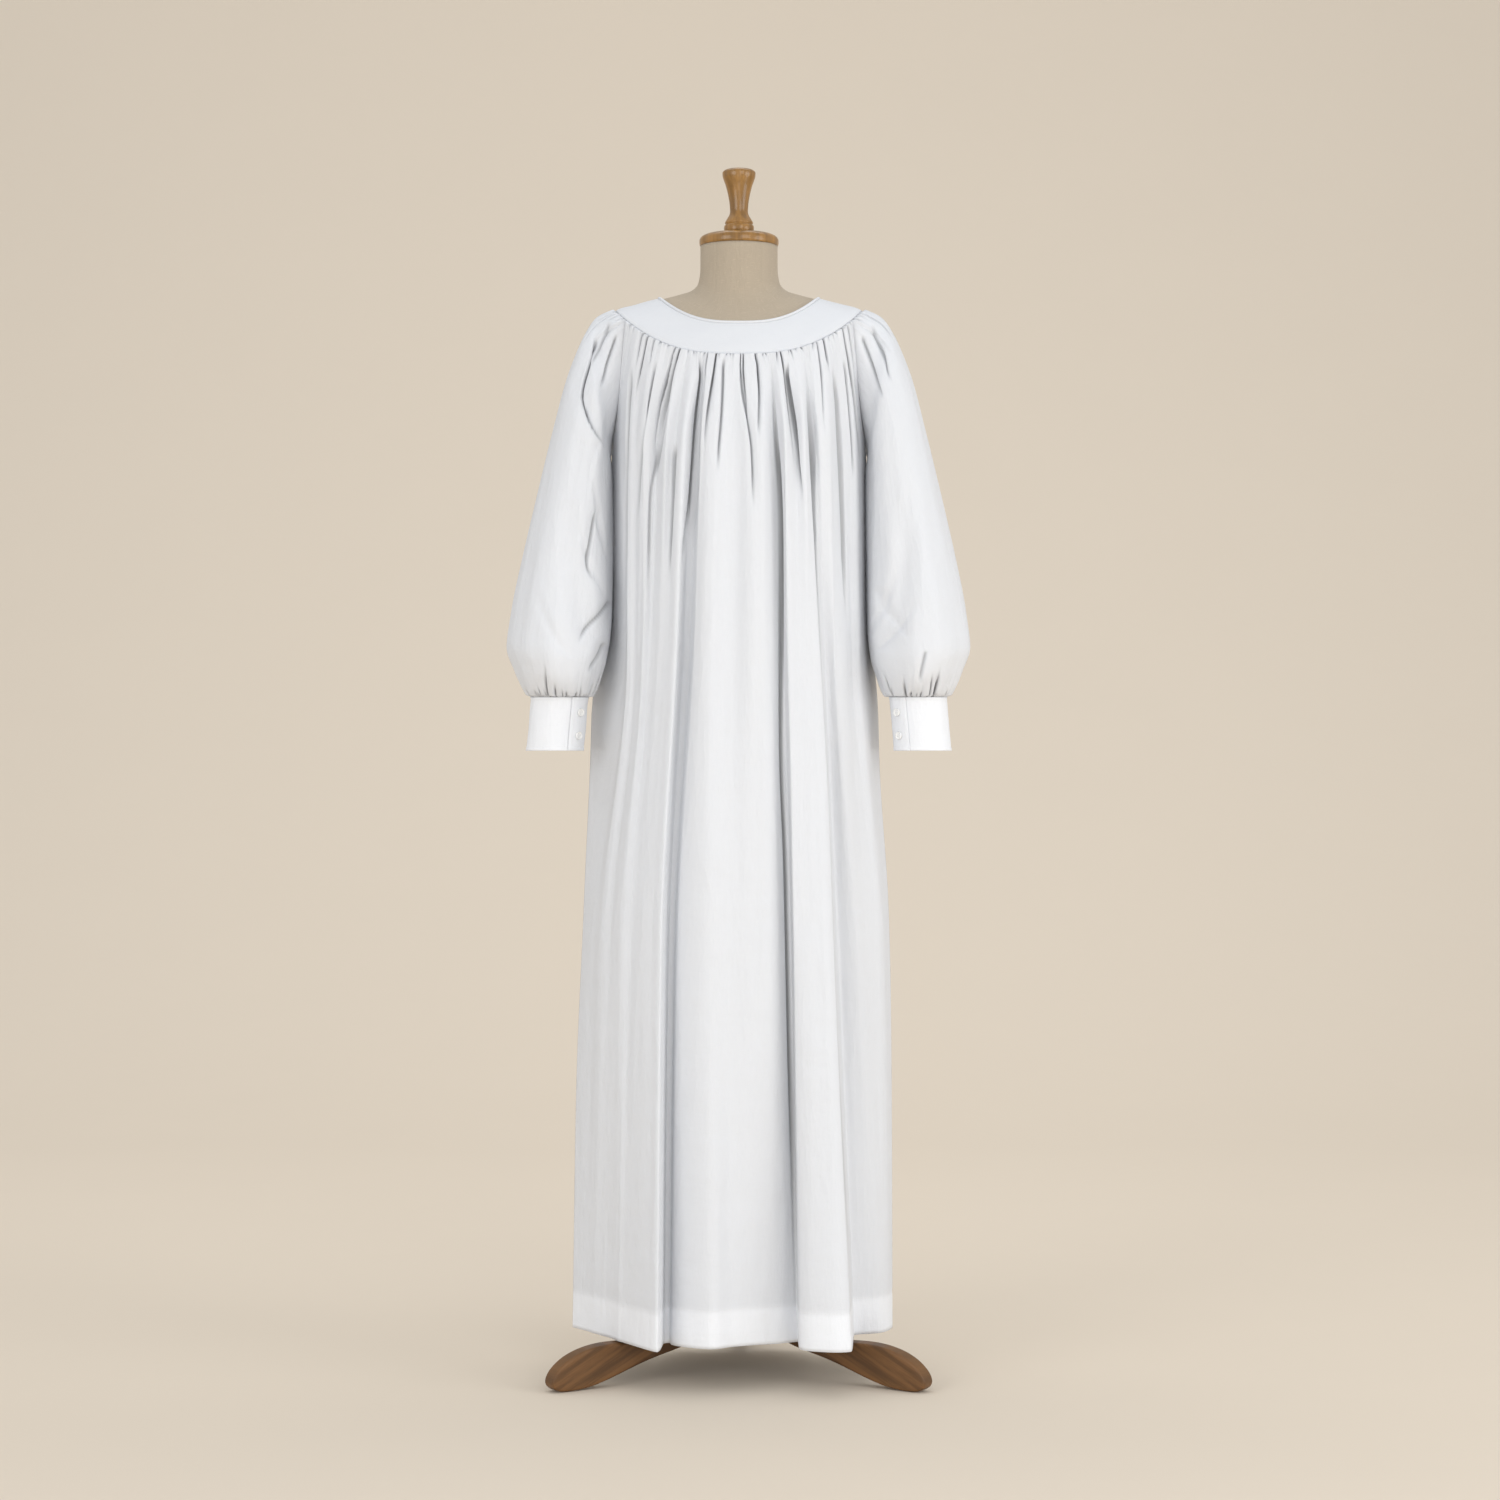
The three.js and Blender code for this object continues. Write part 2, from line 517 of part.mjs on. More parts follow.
function panel(folds, seed, isBack) {
  const gathers = gathered(PANEL_GATHERS, seed);
  const surface = panelSurface(folds, gathers, isBack);
  const edgeOut = (across, fall) => {
    if (across === 0 || across === 1) {
      const side = (across === 1) === isBack ? -1 : 1;
      return panelEdge(fall, isBack, side).out;
    }
    if (fall === YOKE_SEAM) {
      const turn = -RAGLAN + 2 * RAGLAN * (isBack ? 1 - across : across);
      return outOfForm(isBack ? 180 - turn : turn, YOKE_END);
    }
    const step = 1e-3;
    const way = surface(Math.min(across + step, 1), fall).sub(surface(Math.max(across - step, 0), fall));
    return new THREE.Vector3(way.y, -way.x, 0).normalize();
  };
  return clothWall({ surface, rows: panelRows(gathers, folds, isBack), thick: CLOTH, edgeOut });
}

// ---- Sleeves and cuffs ----
const SEAM_SHARE = 0.37; // of the armhole, up each raglan seam; the rest lies along the yoke
const SEAM_EASE = 0.05; // more than SEAM_GAP, where the seams are straight chords on both sides
const SEAM_TURN = 1.3; // gaps that the sleeve's corners on the yoke stand off from the panels' corners
const seamPlace = (fall) => (SEAM_SHARE * (fall - UNDERARM)) / (YOKE_SEAM - UNDERARM);

// The armhole from the underarm up the front seam, along the yoke and down the back seam: the outer edge of the
// sleeve's wall, and the way from it into the armhole.
function armhole(place) {
  const isBack = place > 0.5;
  const up = Math.min(place, 1 - place) / SEAM_SHARE;
  const alongYoke = clamp((place - SEAM_SHARE) / (1 - 2 * SEAM_SHARE), 0, 1);
  if (up >= 1) {
    const corner = RAGLAN + (SEAM_TURN * SEAM_GAP) / FORM_RINGS[YOKE_END].half / DEG;
    const degrees = corner + (180 - 2 * corner) * alongYoke;
    const way = yokeSeam(degrees + 0.5).sub(yokeSeam(degrees - 0.5));
    return { point: yokeSeam(degrees), into: way.cross(outOfForm(degrees, YOKE_END)).normalize() };
  }
  const fall = UNDERARM + (YOKE_SEAM - UNDERARM) * up;
  const { point, out } = panelEdge(fall, isBack, 1);
  const above = panelEdge(Math.min(fall + 1, YOKE_SEAM), isBack, 1).point;
  const way = above.sub(panelEdge(Math.max(fall - 1, UNDERARM), isBack, 1).point).multiplyScalar(isBack ? -1 : 1);
  const into = place === 0 ? new THREE.Vector3(0, 0, 1) : way.cross(out).normalize();
  return { point: point.addScaledVector(into, SEAM_GAP + SEAM_EASE), into };
}

function sleeveRing(ring, place) {
  const c = Math.cos(2 * Math.PI * place);
  return new THREE.Vector3(
    (ring.outer + ring.inner) / 2 - ((ring.outer - ring.inner) / 2) * c,
    -ring.ahead - ring.reach * Math.sin(2 * Math.PI * place),
    (ring.high + ring.low) / 2 - ((ring.high - ring.low) / 2) * c,
  );
}

// A sleeve without its gathers and creases: level 0 is the armhole, and the last one the cuff.
const SLEEVE_END = { ...CUFF, high: CUFF.top + SEAM_GAP, low: CUFF.top + SEAM_GAP };
const SLEEVE_LAST = SLEEVE_RINGS.length + 1;
const sleeveLines = new Map();
function plainSleeve(place, level) {
  const around = (place + 1) % 1;
  if (!sleeveLines.has(around)) {
    const rings = [...SLEEVE_RINGS, SLEEVE_END].map((ring) => sleeveRing(ring, around));
    sleeveLines.set(around, [armhole(around).point, ...rings]);
  }
  const line = sleeveLines.get(around);
  const steps = line.map((_, i) => i);
  return new THREE.Vector3(...["x", "y", "z"].map((axis) => along(steps, line.map((p) => p[axis]), level)));
}

function sleeveNormal(place, level) {
  const step = 0.004;
  const wide = 0.025; // past the narrow end of the armhole
  const after = plainSleeve(place, Math.min(level + step, SLEEVE_LAST));
  const down = after.sub(plainSleeve(place, Math.max(level - step, 0)));
  const turn = plainSleeve(place + wide, level).sub(plainSleeve(place - wide, level));
  return down.cross(turn).normalize();
}

function sleeveSurface(creases, head, wrist) {
  return (place, level) => {
    const point = plainSleeve(place, level);
    const normal = sleeveNormal(place, level);
    const fromCuff = SLEEVE_LAST - level;
    const headShare = clamp((place - SEAM_SHARE) / (1 - 2 * SEAM_SHARE), 0, 1);
    const atHead = crestAt(head, headShare) * (1 - smooth(level / 2.8)) * smooth(level / 0.6);
    const nearCuff = (1 - smooth(fromCuff / 2.6)) * (0.35 + 0.65 * smooth(fromCuff / 0.4));
    if (fromCuff < 1) normal.setZ(normal.z * fromCuff).normalize();
    let out = GATHER_HEIGHT * (atHead + crestAt(wrist, place) * nearCuff);
    for (const crease of creases) {
      const share = clamp((level - crease.from) / (crease.to - crease.from), 0, 1);
      const middle = crease.start + (crease.end - crease.start) * share;
      out -= crease.in * Math.sin(Math.PI * share) * flank((place - middle) / crease.reach);
    }
    return point.addScaledVector(normal, out);
  };
}

function sleeve(side, creases, seed) {
  const head = gathered(SLEEVE_HEAD_GATHERS, seed);
  const wrist = gathered(CUFF_GATHERS, seed + 2);
  const surface = sleeveSurface(creases, head, wrist);
  const yoke = gatherPlaces(head, 3).map((share) => SEAM_SHARE + (1 - 2 * SEAM_SHARE) * share);
  const around = (seam) => [...seam, ...yoke, ...seam.slice(1).map((place) => 1 - place).reverse()];
  const edge = around(SEAM_FALLS.slice(0, -1).map(seamPlace));
  const top = around([0, 0.06, 0.12, 0.18, 0.24, 0.3, 0.34]);
  const tube = Array.from({ length: 28 }, (_, i) => i / 28);
  const cuff = gatherPlaces(wrist, 3).slice(0, -1);
  const levels = [
    [0, edge], [0.85, top], [1.4, top], [2.2, tube], [3.4, tube], [4.6, tube], [5.8, tube], [7, tube],
    [8.2, tube], [9.2, cuff], [10.1, cuff], [SLEEVE_LAST, cuff],
  ];
  const edgeOut = (place, level) => {
    if (level === 0) {
      const { into } = armhole(place);
      const out = sleeveNormal(place, level);
      return out.addScaledVector(into, -Math.max(out.dot(into), 0)).normalize();
    }
    return sleeveRing({ ...CUFF, high: 0, low: 0 }, place)
      .sub(new THREE.Vector3((CUFF.outer + CUFF.inner) / 2, -CUFF.ahead, 0))
      .normalize();
  };
  const rows = levels.map(([fall, places]) => ({ fall, places }));
  return mirrored(clothWall({ surface, rows, closed: true, thick: CLOTH, edgeOut }), side);
}

// The outer face of a cuff's band, whose far end laps over its start.
function cuffSurface(share, drop) {
  const around = CUFF_START + share * (1 + CUFF_LAP);
  const lap = smooth((around - 0.98) / 0.07) * (CUFF_WALL + CUFF_LIFT);
  const ring = { ...CUFF, high: CUFF.top - drop, low: CUFF.top - drop };
  const point = sleeveRing(ring, around % 1);
  const out = cuffOut(around);
  const splay = (CUFF_SPLAY * drop) / CUFF_HEIGHT;
  return point.addScaledVector(out, lap).add(new THREE.Vector3(splay, 0, 0));
}

function cuffOut(around) {
  const turn = 2 * Math.PI * around;
  const width = (CUFF.outer - CUFF.inner) / 2;
  return new THREE.Vector3(-Math.cos(turn) / width, -Math.sin(turn) / CUFF.reach, 0).normalize();
}

function cuff(side) {
  const places = Array.from({ length: 35 }, (_, i) => i / 34);
  const drops = [0, CUFF_HEIGHT / 2, CUFF_HEIGHT];
  const geometry = clothWall({
    surface: cuffSurface,
    rows: drops.map((fall) => ({ fall, places })),
    thick: CUFF_WALL,
    edgeOut: (share) => cuffOut(CUFF_START + share * (1 + CUFF_LAP)),
  });
  return mirrored(geometry, side);
}

function button(side, drop) {
  const out = cuffOut(BUTTON.place);
  const share = (1 + BUTTON.place - CUFF_START) / (1 + CUFF_LAP);
  const middle = cuffSurface(share, drop).addScaledVector(out, BUTTON.thick / 2 + BUTTON.shank);
  const disc = new THREE.CylinderGeometry(BUTTON.radius, BUTTON.radius, BUTTON.thick, BUTTON.sides);
  const geometry = mergeVertices(disc.deleteAttribute("normal").deleteAttribute("uv"));
  geometry.applyQuaternion(new THREE.Quaternion().setFromUnitVectors(new THREE.Vector3(0, 1, 0), out));
  geometry.translate(middle.x, middle.y, middle.z);
  geometry.computeVertexNormals();
  return mirrored(geometry, side);
}

// A solid made for +X, turned over to -X when side is -1.
function mirrored(geometry, side) {
  if (side > 0) return geometry;
  geometry.scale(-1, 1, 1);
  const index = geometry.getIndex().array;
  for (let i = 0; i < index.length; i += 3) [index[i], index[i + 1]] = [index[i + 1], index[i]];
  geometry.computeVertexNormals();
  return geometry;
}

// ---- The stand's legs ----
function leg(degrees) {
  const shape = new THREE.Shape(LEG.outline.map(([radius, height]) => new THREE.Vector2(radius, height)));
  let geometry = new THREE.ExtrudeGeometry(shape, { depth: LEG.width, bevelEnabled: false });
  geometry.deleteAttribute("normal").deleteAttribute("uv");
  geometry = mergeVertices(geometry);
  geometry.translate(0, 0, -LEG.width / 2);
  geometry.rotateX(Math.PI / 2);
  geometry.rotateZ((degrees - 90) * DEG);
  geometry.computeVertexNormals();
  return geometry;
}

// ---- The part ----
const group = new THREE.Group();
function add(name, geometry, material) {
  const mesh = new THREE.Mesh(geometry, new THREE.MeshStandardMaterial(MATERIALS[material]));
  mesh.name = name;
  group.add(mesh);
}

const yokeLevels = [YOKE_START, 5.5, 6, 6.5, YOKE_END];
add("form_torso", formSolid(), "linen");
add("neck_cap", turned(NECK_CAP, 32), "turnedWood");
add("finial", turned(FINIAL, 24), "turnedWood");
add("pole", turned(POLE, 16), "standWood");
add("hub", turned(HUB, 20), "standWood");
add("leg_front_left", leg(-60), "standWood");
add("leg_front_right", leg(60), "standWood");
add("leg_back", leg(180), "standWood");
const binding = { levels: [BINDING_START, YOKE_START - 0.02], from: 0, to: 360, wall: BINDING_WALL, isRing: true };
add("neck_binding", onYoke(binding), "cotton");
add("yoke_front", onYoke({ levels: yokeLevels, from: -90, to: 90, wall: YOKE_WALL }), "yoke");
add("yoke_back", onYoke({ levels: yokeLevels, from: 90, to: 270, wall: YOKE_WALL }), "yoke");
add("front", panel(FRONT_FOLDS, 0.4, false), "cotton");
add("back", panel(BACK_FOLDS, 3.3, true), "cotton");
add("sleeve_left", sleeve(-1, SLEEVE_CREASES.left, 4.1), "cotton");
add("sleeve_right", sleeve(1, SLEEVE_CREASES.right, 1.3), "cotton");
for (const [name, side] of [["left", -1], ["right", 1]]) {
  add(`cuff_${name}`, cuff(side), "cotton");
  BUTTON.drops.forEach((drop, i) => add(`button_${name}_${i + 1}`, button(side, drop), "button"));
}

// The part stands on z = 0, centred on the origin.
group.updateMatrixWorld(true);
const box = new THREE.Box3().setFromObject(group);
group.position.set(-(box.min.x + box.max.x) / 2, -(box.min.y + box.max.y) / 2, -box.min.z);

export default group;
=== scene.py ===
"""A white rochet on a linen dress form: its cloth, its form and stand, and a small studio round them."""

import math

import bpy
import numpy as np
from mathutils import Matrix, Vector


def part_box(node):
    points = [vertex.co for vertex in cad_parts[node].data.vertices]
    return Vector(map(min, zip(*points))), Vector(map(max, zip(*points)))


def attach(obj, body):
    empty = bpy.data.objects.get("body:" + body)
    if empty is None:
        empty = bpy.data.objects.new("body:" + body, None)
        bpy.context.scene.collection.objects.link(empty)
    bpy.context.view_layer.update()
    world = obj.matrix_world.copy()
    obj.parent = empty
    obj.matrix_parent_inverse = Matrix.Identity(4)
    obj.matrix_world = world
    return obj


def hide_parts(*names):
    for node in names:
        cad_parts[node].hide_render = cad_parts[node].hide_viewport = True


bl_info = {
    "name": "Rochet on a Dress Form",
    "version": (1, 0, 0),
    "blender": (4, 5, 0),
    "location": "View3D > Sidebar > Rochet",
    "description": "Builds a gathered white rochet, the form it hangs on and a studio to show it in",
    "category": "Object",
}

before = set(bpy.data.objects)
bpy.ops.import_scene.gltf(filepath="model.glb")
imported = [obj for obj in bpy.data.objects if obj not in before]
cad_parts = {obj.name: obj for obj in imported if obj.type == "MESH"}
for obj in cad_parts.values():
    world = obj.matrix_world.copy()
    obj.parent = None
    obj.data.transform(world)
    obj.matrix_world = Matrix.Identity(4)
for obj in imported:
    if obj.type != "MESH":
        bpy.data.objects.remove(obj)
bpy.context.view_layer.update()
POLE_LOW, POLE_HIGH = (Vector(corner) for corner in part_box("pole"))
# Tables and grids are in millimetres, measured from the pole's axis and the floor.
AXIS = np.array((POLE_LOW + POLE_HIGH) / 2 * 1000) * (1, 1, 0)
AXIS_X, AXIS_Y = AXIS[:2] / 1000

# ---- The cut, in millimetres ----
SEAM_GAP = 0.3
YOKE_WALL, YOKE_CLOTH, YOKE_LIFT = 2.0, 1.6, 0.4
YOKE_START, YOKE_END = 5.0, 7.0  # levels of FORM_RINGS
YOKE_SEAM, UNDERARM, HEM, HEM_DEPTH = 1410.0, 1283.0, 62.0, 50.0
RAGLAN = 64.0  # degrees from the centre front to where a raglan seam meets the yoke
RING_RISE = 2.7  # how late a ring of the form climbs towards its side
SEAM_SHARE = 0.37  # share of the armhole's edge that one raglan seam takes
CUFF = {"outer": 289.0, "inner": 210.0, "reach": 36.0, "ahead": 30.0, "top": 943.0, "height": 74.0}
CUFF_WALL, CUFF_CLOTH, CUFF_SPLAY = 1.8, 1.5, 6.5
CUFF_START, CUFF_LAP, BUTTON_PLACE = 0.05, 0.12, 0.11  # in turns round the wrist
BUTTON_DROPS, BUTTON_THICK = (21, 53), 2.4
STITCH = {"long": 2.4, "thick": 0.5, "pitch": 3.1}
PANEL_COLUMNS, SLEEVE_COLUMNS = 428, 330
SIDES = (("left", -1), ("right", 1))

# Half width, reach to the front and the back, and height at the sides, the front and the back.
FORM_RINGS = np.array([
    (54, 54, 56, 1574.7, 1574.7, 1574.7), (54, 54, 57, 1545, 1542, 1547), (57, 57, 62, 1523, 1510, 1528),
    (67, 64, 73, 1512, 1490, 1517), (86, 74, 86, 1506, 1474, 1506), (113, 87, 99, 1499, 1455, 1490),
    (144, 100, 110, 1491, 1434, 1472), (170, 110, 117, 1482, 1411, 1451), (172, 105, 111, 1465, 1388, 1426),
    (166, 102, 107, 1442, 1360, 1396), (154, 97, 103, 1400, 1330, 1358), (138, 92, 96, 1330, 1285, 1300),
    (116, 76, 82, 1150, 1150, 1150), (112, 72, 82, 1000, 1000, 1000), (104, 68, 78, 890, 890, 890),
])
# Height of a ring at its centre front, half the distance between the panels' edges, drift, gap front to back, and
# how far the edges lie behind the axis.
EDGES = np.array([
    (YOKE_SEAM, 155, 0, 51, 0), (1375, 160, 0, 46, 0), (1330, 168, 0, 32, 0), (UNDERARM, 178, 0, 0, 0),
    (1240, 179, 0, 0, 8), (1180, 181, 0, 0, 16), (1090, 183, 0, 0, 22), (1030, 187, -1, 0, 28),
    (980, 196, -4, 0, 34), (930, 202, -6, 0, 36), (850, 204, -6, 0, 30), (650, 214, -4, 0, 12),
    (400, 221, -7, 0, 4), (HEM, 224, -9, 0, 0),
])
FOLD_HEIGHTS = np.array([YOKE_SEAM, 1290, 1000, 600, HEM])
# Each long fold: x at FOLD_HEIGHTS, and y at all of them but the first, which lies on the yoke seam.
FRONT_FOLDS = [
    ((-146, -164, -160, -203, -215), (-46, -46, -42, -26)), ((-137, -155, -152, -190, -199), (-72, -74, -70, -50)),
    ((-124, -142, -143, -176, -184), (-80, -82, -88, -72)),
    ((-110, -129, -134, -162, -167), (-102, -98, -112, -102)),
    ((-89, -111, -123, -148, -154), (-98, -102, -122, -123)), ((-77, -98, -108, -129, -133), (-119, -116, -141, -156)),
    ((-67, -87, -97, -117, -121), (-117, -125, -152, -173)), ((-58, -75, -85, -105, -109), (-131, -137, -164, -187)),
    ((-54, -69, -79, -100, -105), (-126, -124, -147, -172)), ((-50, -64, -74, -94, -101), (-120, -116, -126, -124)),
    ((-46, -59, -69, -89, -95), (-120, -116, -126, -120)), ((-41, -53, -62, -83, -91), (-137, -137, -140, -134)),
    ((-23, -32, -36, -38, -38), (-139, -152, -164, -167)), ((-4, -10, -12, -12, -8), (-133, -145, -156, -150)),
    ((12, 12, 14, 16, 20), (-139, -149, -153, -136)), ((27, 32, 36, 42, 50), (-137, -147, -150, -128)),
    ((43, 54, 61, 72, 80), (-124, -130, -128, -112)), ((51, 63, 68, 76, 82), (-137, -144, -158, -163)),
    ((64, 79, 84, 94, 103), (-121, -137, -160, -184)), ((76, 90, 98, 113, 130), (-127, -137, -160, -191)),
    ((88, 101, 112, 129, 151), (-112, -127, -150, -184)), ((98, 109, 120, 139, 160), (-115, -104, -88, -60)),
    ((114, 125, 133, 160, 182), (-108, -102, -86, -52)), ((130, 143, 150, 182, 200), (-74, -74, -66, -40)),
    ((144, 161, 166, 199, 209), (-62, -58, -46, -24)),
]
BACK_FOLDS = [
    ((-145, -162, -160, -202, -216), (52, 48, 40, 24)), ((-136, -152, -152, -188, -200), (62, 60, 52, 44)),
    ((-120, -136, -140, -170, -182), (94, 94, 96, 88)), ((-104, -120, -126, -150, -160), (98, 92, 96, 92)),
    ((-90, -105, -112, -130, -138), (122, 120, 134, 148)), ((-76, -90, -98, -112, -118), (114, 98, 76, 50)),
    ((-64, -76, -82, -96, -104), (134, 132, 138, 150)), ((-48, -58, -64, -74, -80), (132, 142, 158, 172)),
    ((-33, -39, -42, -48, -52), (127, 134, 142, 150)), ((-17, -19, -20, -22, -24), (144, 150, 164, 172)),
    ((-4, -3, -2, -2, -2), (130, 124, 116, 108)), ((10, 13, 16, 17, 17), (143, 146, 150, 148)),
    ((27, 32, 36, 40, 44), (138, 150, 164, 176)), ((43, 52, 56, 64, 70), (124, 136, 148, 160)),
    ((58, 68, 74, 84, 92), (134, 138, 152, 164)), ((70, 82, 90, 100, 108), (112, 94, 66, 34)),
    ((84, 97, 104, 116, 124), (123, 120, 124, 136)), ((100, 113, 120, 136, 146), (102, 104, 112, 120)),
    ((116, 130, 136, 158, 170), (98, 94, 96, 92)), ((130, 145, 150, 176, 192), (70, 70, 62, 56)),
    ((144, 161, 164, 197, 208), (56, 50, 44, 26)),
]
# Creases drawn on the front and the back: the heights and x each runs through, its depth, and its reach to the
# left and right.
FRONT_CREASES = [
    ([(1409, -85), (1277, -110), (1209, -121), (1060, -124)], 5, 14, 5),
    ([(1000, -124), (856, -130), (517, -154), (245, -168)], 4, 24, 16),
    ([(1409, -52), (1300, -62), (1205, -69), (1120, -78)], 11, 4, 14),
    ([(1290, -86), (1178, -91), (1097, -96)], 6, 12, 4),
    ([(1409, 42), (1300, 52), (1178, 58), (860, 61), (721, 66), (449, 72), (76, 79)], 9, 16, 3.5),
    ([(1409, 88), (1295, 99), (992, 113), (788, 124), (517, 134), (144, 151)], 8, 4, 18),
    ([(1402, 1), (1359, 4), (1277, 17), (1190, 20)], 6, 3.5, 10),
    ([(1402, 65), (1300, 80), (1205, 87)], 8, 10, 3.5),
    ([(1400, 126), (1341, 137), (1159, 144), (1040, 146)], 6, 9, 4),
    ([(1410, 143), (1340, 152), (1240, 160)], 6, 3.5, 8),
    ([(1400, -146), (1330, -154), (1178, -158), (1080, -158)], 6, 4, 9),
    ([(1408, -20), (1330, -22), (1240, -30)], 6, 8, 3.5),
    ([(1408, 24), (1350, 27), (1290, 27)], 5, 3.5, 8),
    ([(1406, -112), (1340, -124), (1260, -136), (1180, -140)], 6, 9, 3.5),
    ([(1060, -30), (820, -34), (560, -37), (300, -30)], 2, 26, 20),
    ([(980, 22), (760, 26), (420, 30), (180, 34)], 2, 20, 26),
    ([(900, 152), (700, 168), (420, 186), (180, 194)], 4, 18, 14),
    ([(1000, -176), (760, -192), (460, -206), (200, -210)], 2, 14, 22),
]
BACK_CREASES = [
    ([(1409, -96), (1290, -112), (1100, -124), (860, -134)], 9, 14, 4),
    ([(1409, -66), (1290, -80), (1120, -92), (900, -98)], 10, 4, 14),
    ([(1409, -8), (1280, -8), (1000, -6), (600, -4), (120, -3)], 8, 4, 16),
    ([(1409, 30), (1300, 36), (1160, 42), (1000, 44)], 7, 12, 4),
    ([(1409, 66), (1290, 80), (1000, 90), (600, 100), (120, 108)], 9, 16, 4),
    ([(1406, 104), (1300, 118), (1140, 126)], 7, 4, 12),
    ([(1404, -38), (1330, -44), (1240, -50)], 6, 8, 3.5),
    ([(1406, 128), (1320, 142), (1200, 150)], 6, 3.5, 8),
    ([(900, -36), (640, -40), (320, -46)], 4, 20, 14), ([(860, 140), (600, 160), (260, 178)], 4, 14, 18),
]
# Each panel's folds and creases, the count and seed of its gathers, its ripples' seed, and its cut in metres.
PANELS = {
    "front": {
        "folds": FRONT_FOLDS, "creases": FRONT_CREASES, "count": 34, "seed": 0.4, "ripples": 0.6,
        "flat": (0.86, 1.4), "area": 1.05,
    },
    "back": {
        "folds": BACK_FOLDS, "creases": BACK_CREASES, "count": 32, "seed": 3.3, "ripples": 2.1,
        "flat": (0.92, 1.4), "area": 1.16,
    },
}
# A sleeve's rings: outer end and its height, inner end and its height, reach front and back, and how far ahead.
SLEEVE_RINGS = [
    (196, 1474, 179.5, 1279, 60, -1), (216, 1450, 177.5, 1254, 74, 0), (240, 1396, 176.5, 1218, 80, 2),
    (262, 1312, 176, 1165, 81, 6), (283, 1222, 176.5, 1110, 82, 11), (301, 1140, 177, 1062, 84, 16),
    (315, 1068, 179, 1024, 86, 20), (321, 1016, 184, 996, 84, 24), (309, 982, 194, 972, 74, 27),
    (297, 957, 203, 952, 54, 29),
    (CUFF["outer"], CUFF["top"] + SEAM_GAP, CUFF["inner"], CUFF["top"] + SEAM_GAP, CUFF["reach"], CUFF["ahead"]),
]
# A sleeve's soft creases: the levels each runs between, its places round the arm at both ends, its depth and reach.
CREASES = {
    -1: [
        (4.4, 7.6, 0.27, 0.14, 6, 0.08), (2.4, 6.2, 0.64, 0.8, 9, 0.08), (4.8, 8.4, 0.72, 0.86, 8, 0.08),
    ],
    1: [
        (4.2, 7.8, 0.28, 0.13, 7, 0.08), (2.0, 5.8, 0.62, 0.78, 9, 0.08), (5.0, 8.6, 0.7, 0.86, 8, 0.08),
    ],
}
# Creases drawn on the sleeves' fronts, in the same way.
SLEEVE_LINES = {
    -1: [
        ([(1444, -197), (1408, -209), (1360, -220), (1322, -206), (1285, -180)], 13, 4, 26),
        ([(1446, -170), (1400, -184), (1368, -190)], 6, 3.5, 9),
        ([(1462, -178), (1436, -191), (1400, -203)], 5, 3.5, 9),
        ([(1300, -192), (1262, -203), (1214, -210)], 4, 16, 6),
        ([(1200, -196), (1168, -201), (1128, -206), (1096, -196)], 6, 14, 4),
        ([(1084, -170), (1066, -184), (1040, -204), (1016, -220)], 6, 12, 5),
        ([(1020, -184), (998, -194), (976, -210)], 5, 14, 4),
        ([(1150, -236), (1100, -252), (1050, -256)], 2.5, 30, 24),
    ],
    1: [
        ([(1446, 170), (1400, 186), (1352, 198)], 6, 9, 3.5),
        ([(1458, 184), (1420, 200), (1376, 210)], 5, 8, 3.5),
        ([(1400, 224), (1330, 236), (1250, 244)], 2, 24, 28),
        ([(1280, 190), (1220, 200), (1150, 208)], 2.5, 14, 24),
        ([(1096, 190), (1066, 196), (1042, 214), (1020, 238)], 6, 6, 16),
        ([(1006, 256), (980, 250), (962, 247)], 4, 8, 5),
    ],
}
# Finer soft creases of a sleeve.
FINE_CREASES = {
    -1: [
        (3.4, 4.8, 0.2, 0.08, 3, 0.035), (4.6, 5.8, 0.24, 0.08, 2.5, 0.03), (6.4, 8.2, 0.34, 0.2, 2, 0.03),
        (3.0, 5.0, 0.9, 0.7, 4, 0.03), (5.4, 7.2, 0.94, 0.76, 4, 0.03),
    ],
    1: [
        (5.4, 6.9, 0.2, 0.06, 3, 0.035), (6.4, 7.8, 0.26, 0.06, 2.5, 0.03),
        (3.4, 5.2, 0.92, 0.74, 4, 0.03), (5.8, 7.6, 0.96, 0.78, 4, 0.03),
    ],
}
# The radius and height down each turned piece.
FINIAL = [
    (0, 1683.4), (14, 1682.9), (20.5, 1681), (23.3, 1677.5), (23, 1673), (21.6, 1668), (19, 1661), (15.8, 1649),
    (13.2, 1634), (12.6, 1624), (13.6, 1619), (17, 1613), (19.8, 1607.6), (18.8, 1605.2), (20.8, 1603), (21, 1598.5),
    (20, 1594.3),
]
NECK_CAP = [
    (20, 1594), (32, 1593), (47, 1590.5), (53.5, 1587), (55.5, 1583), (55.5, 1578.5), (53.5, 1575), (30, 1575),
]
HUB = [(19, 189.7), (25, 184), (26, 178), (26, 104), (23, 96)]
POLE = [(12.8, 889.7), (14, 888), (14, 640), (14, 400), (14, 200), (13, 190)]
# A leg's width, and its lower and upper edges from the hub outwards: reach and height.
LEG_WIDTH = 26.0
LEG_LOW = [
    (26.5, 112), (46, 72), (74, 52), (104, 42.5), (134, 36), (162, 28), (190, 18), (216, 9), (240, 2.5), (266, 0),
    (289, 0.5), (298, 9),
]
LEG_HIGH = [
    (26.5, 172), (54, 106), (84, 70), (112, 58.5), (140, 58), (166, 58.5), (194, 60), (222, 59.5), (250, 54),
    (272, 45), (289, 32), (298, 18),
]


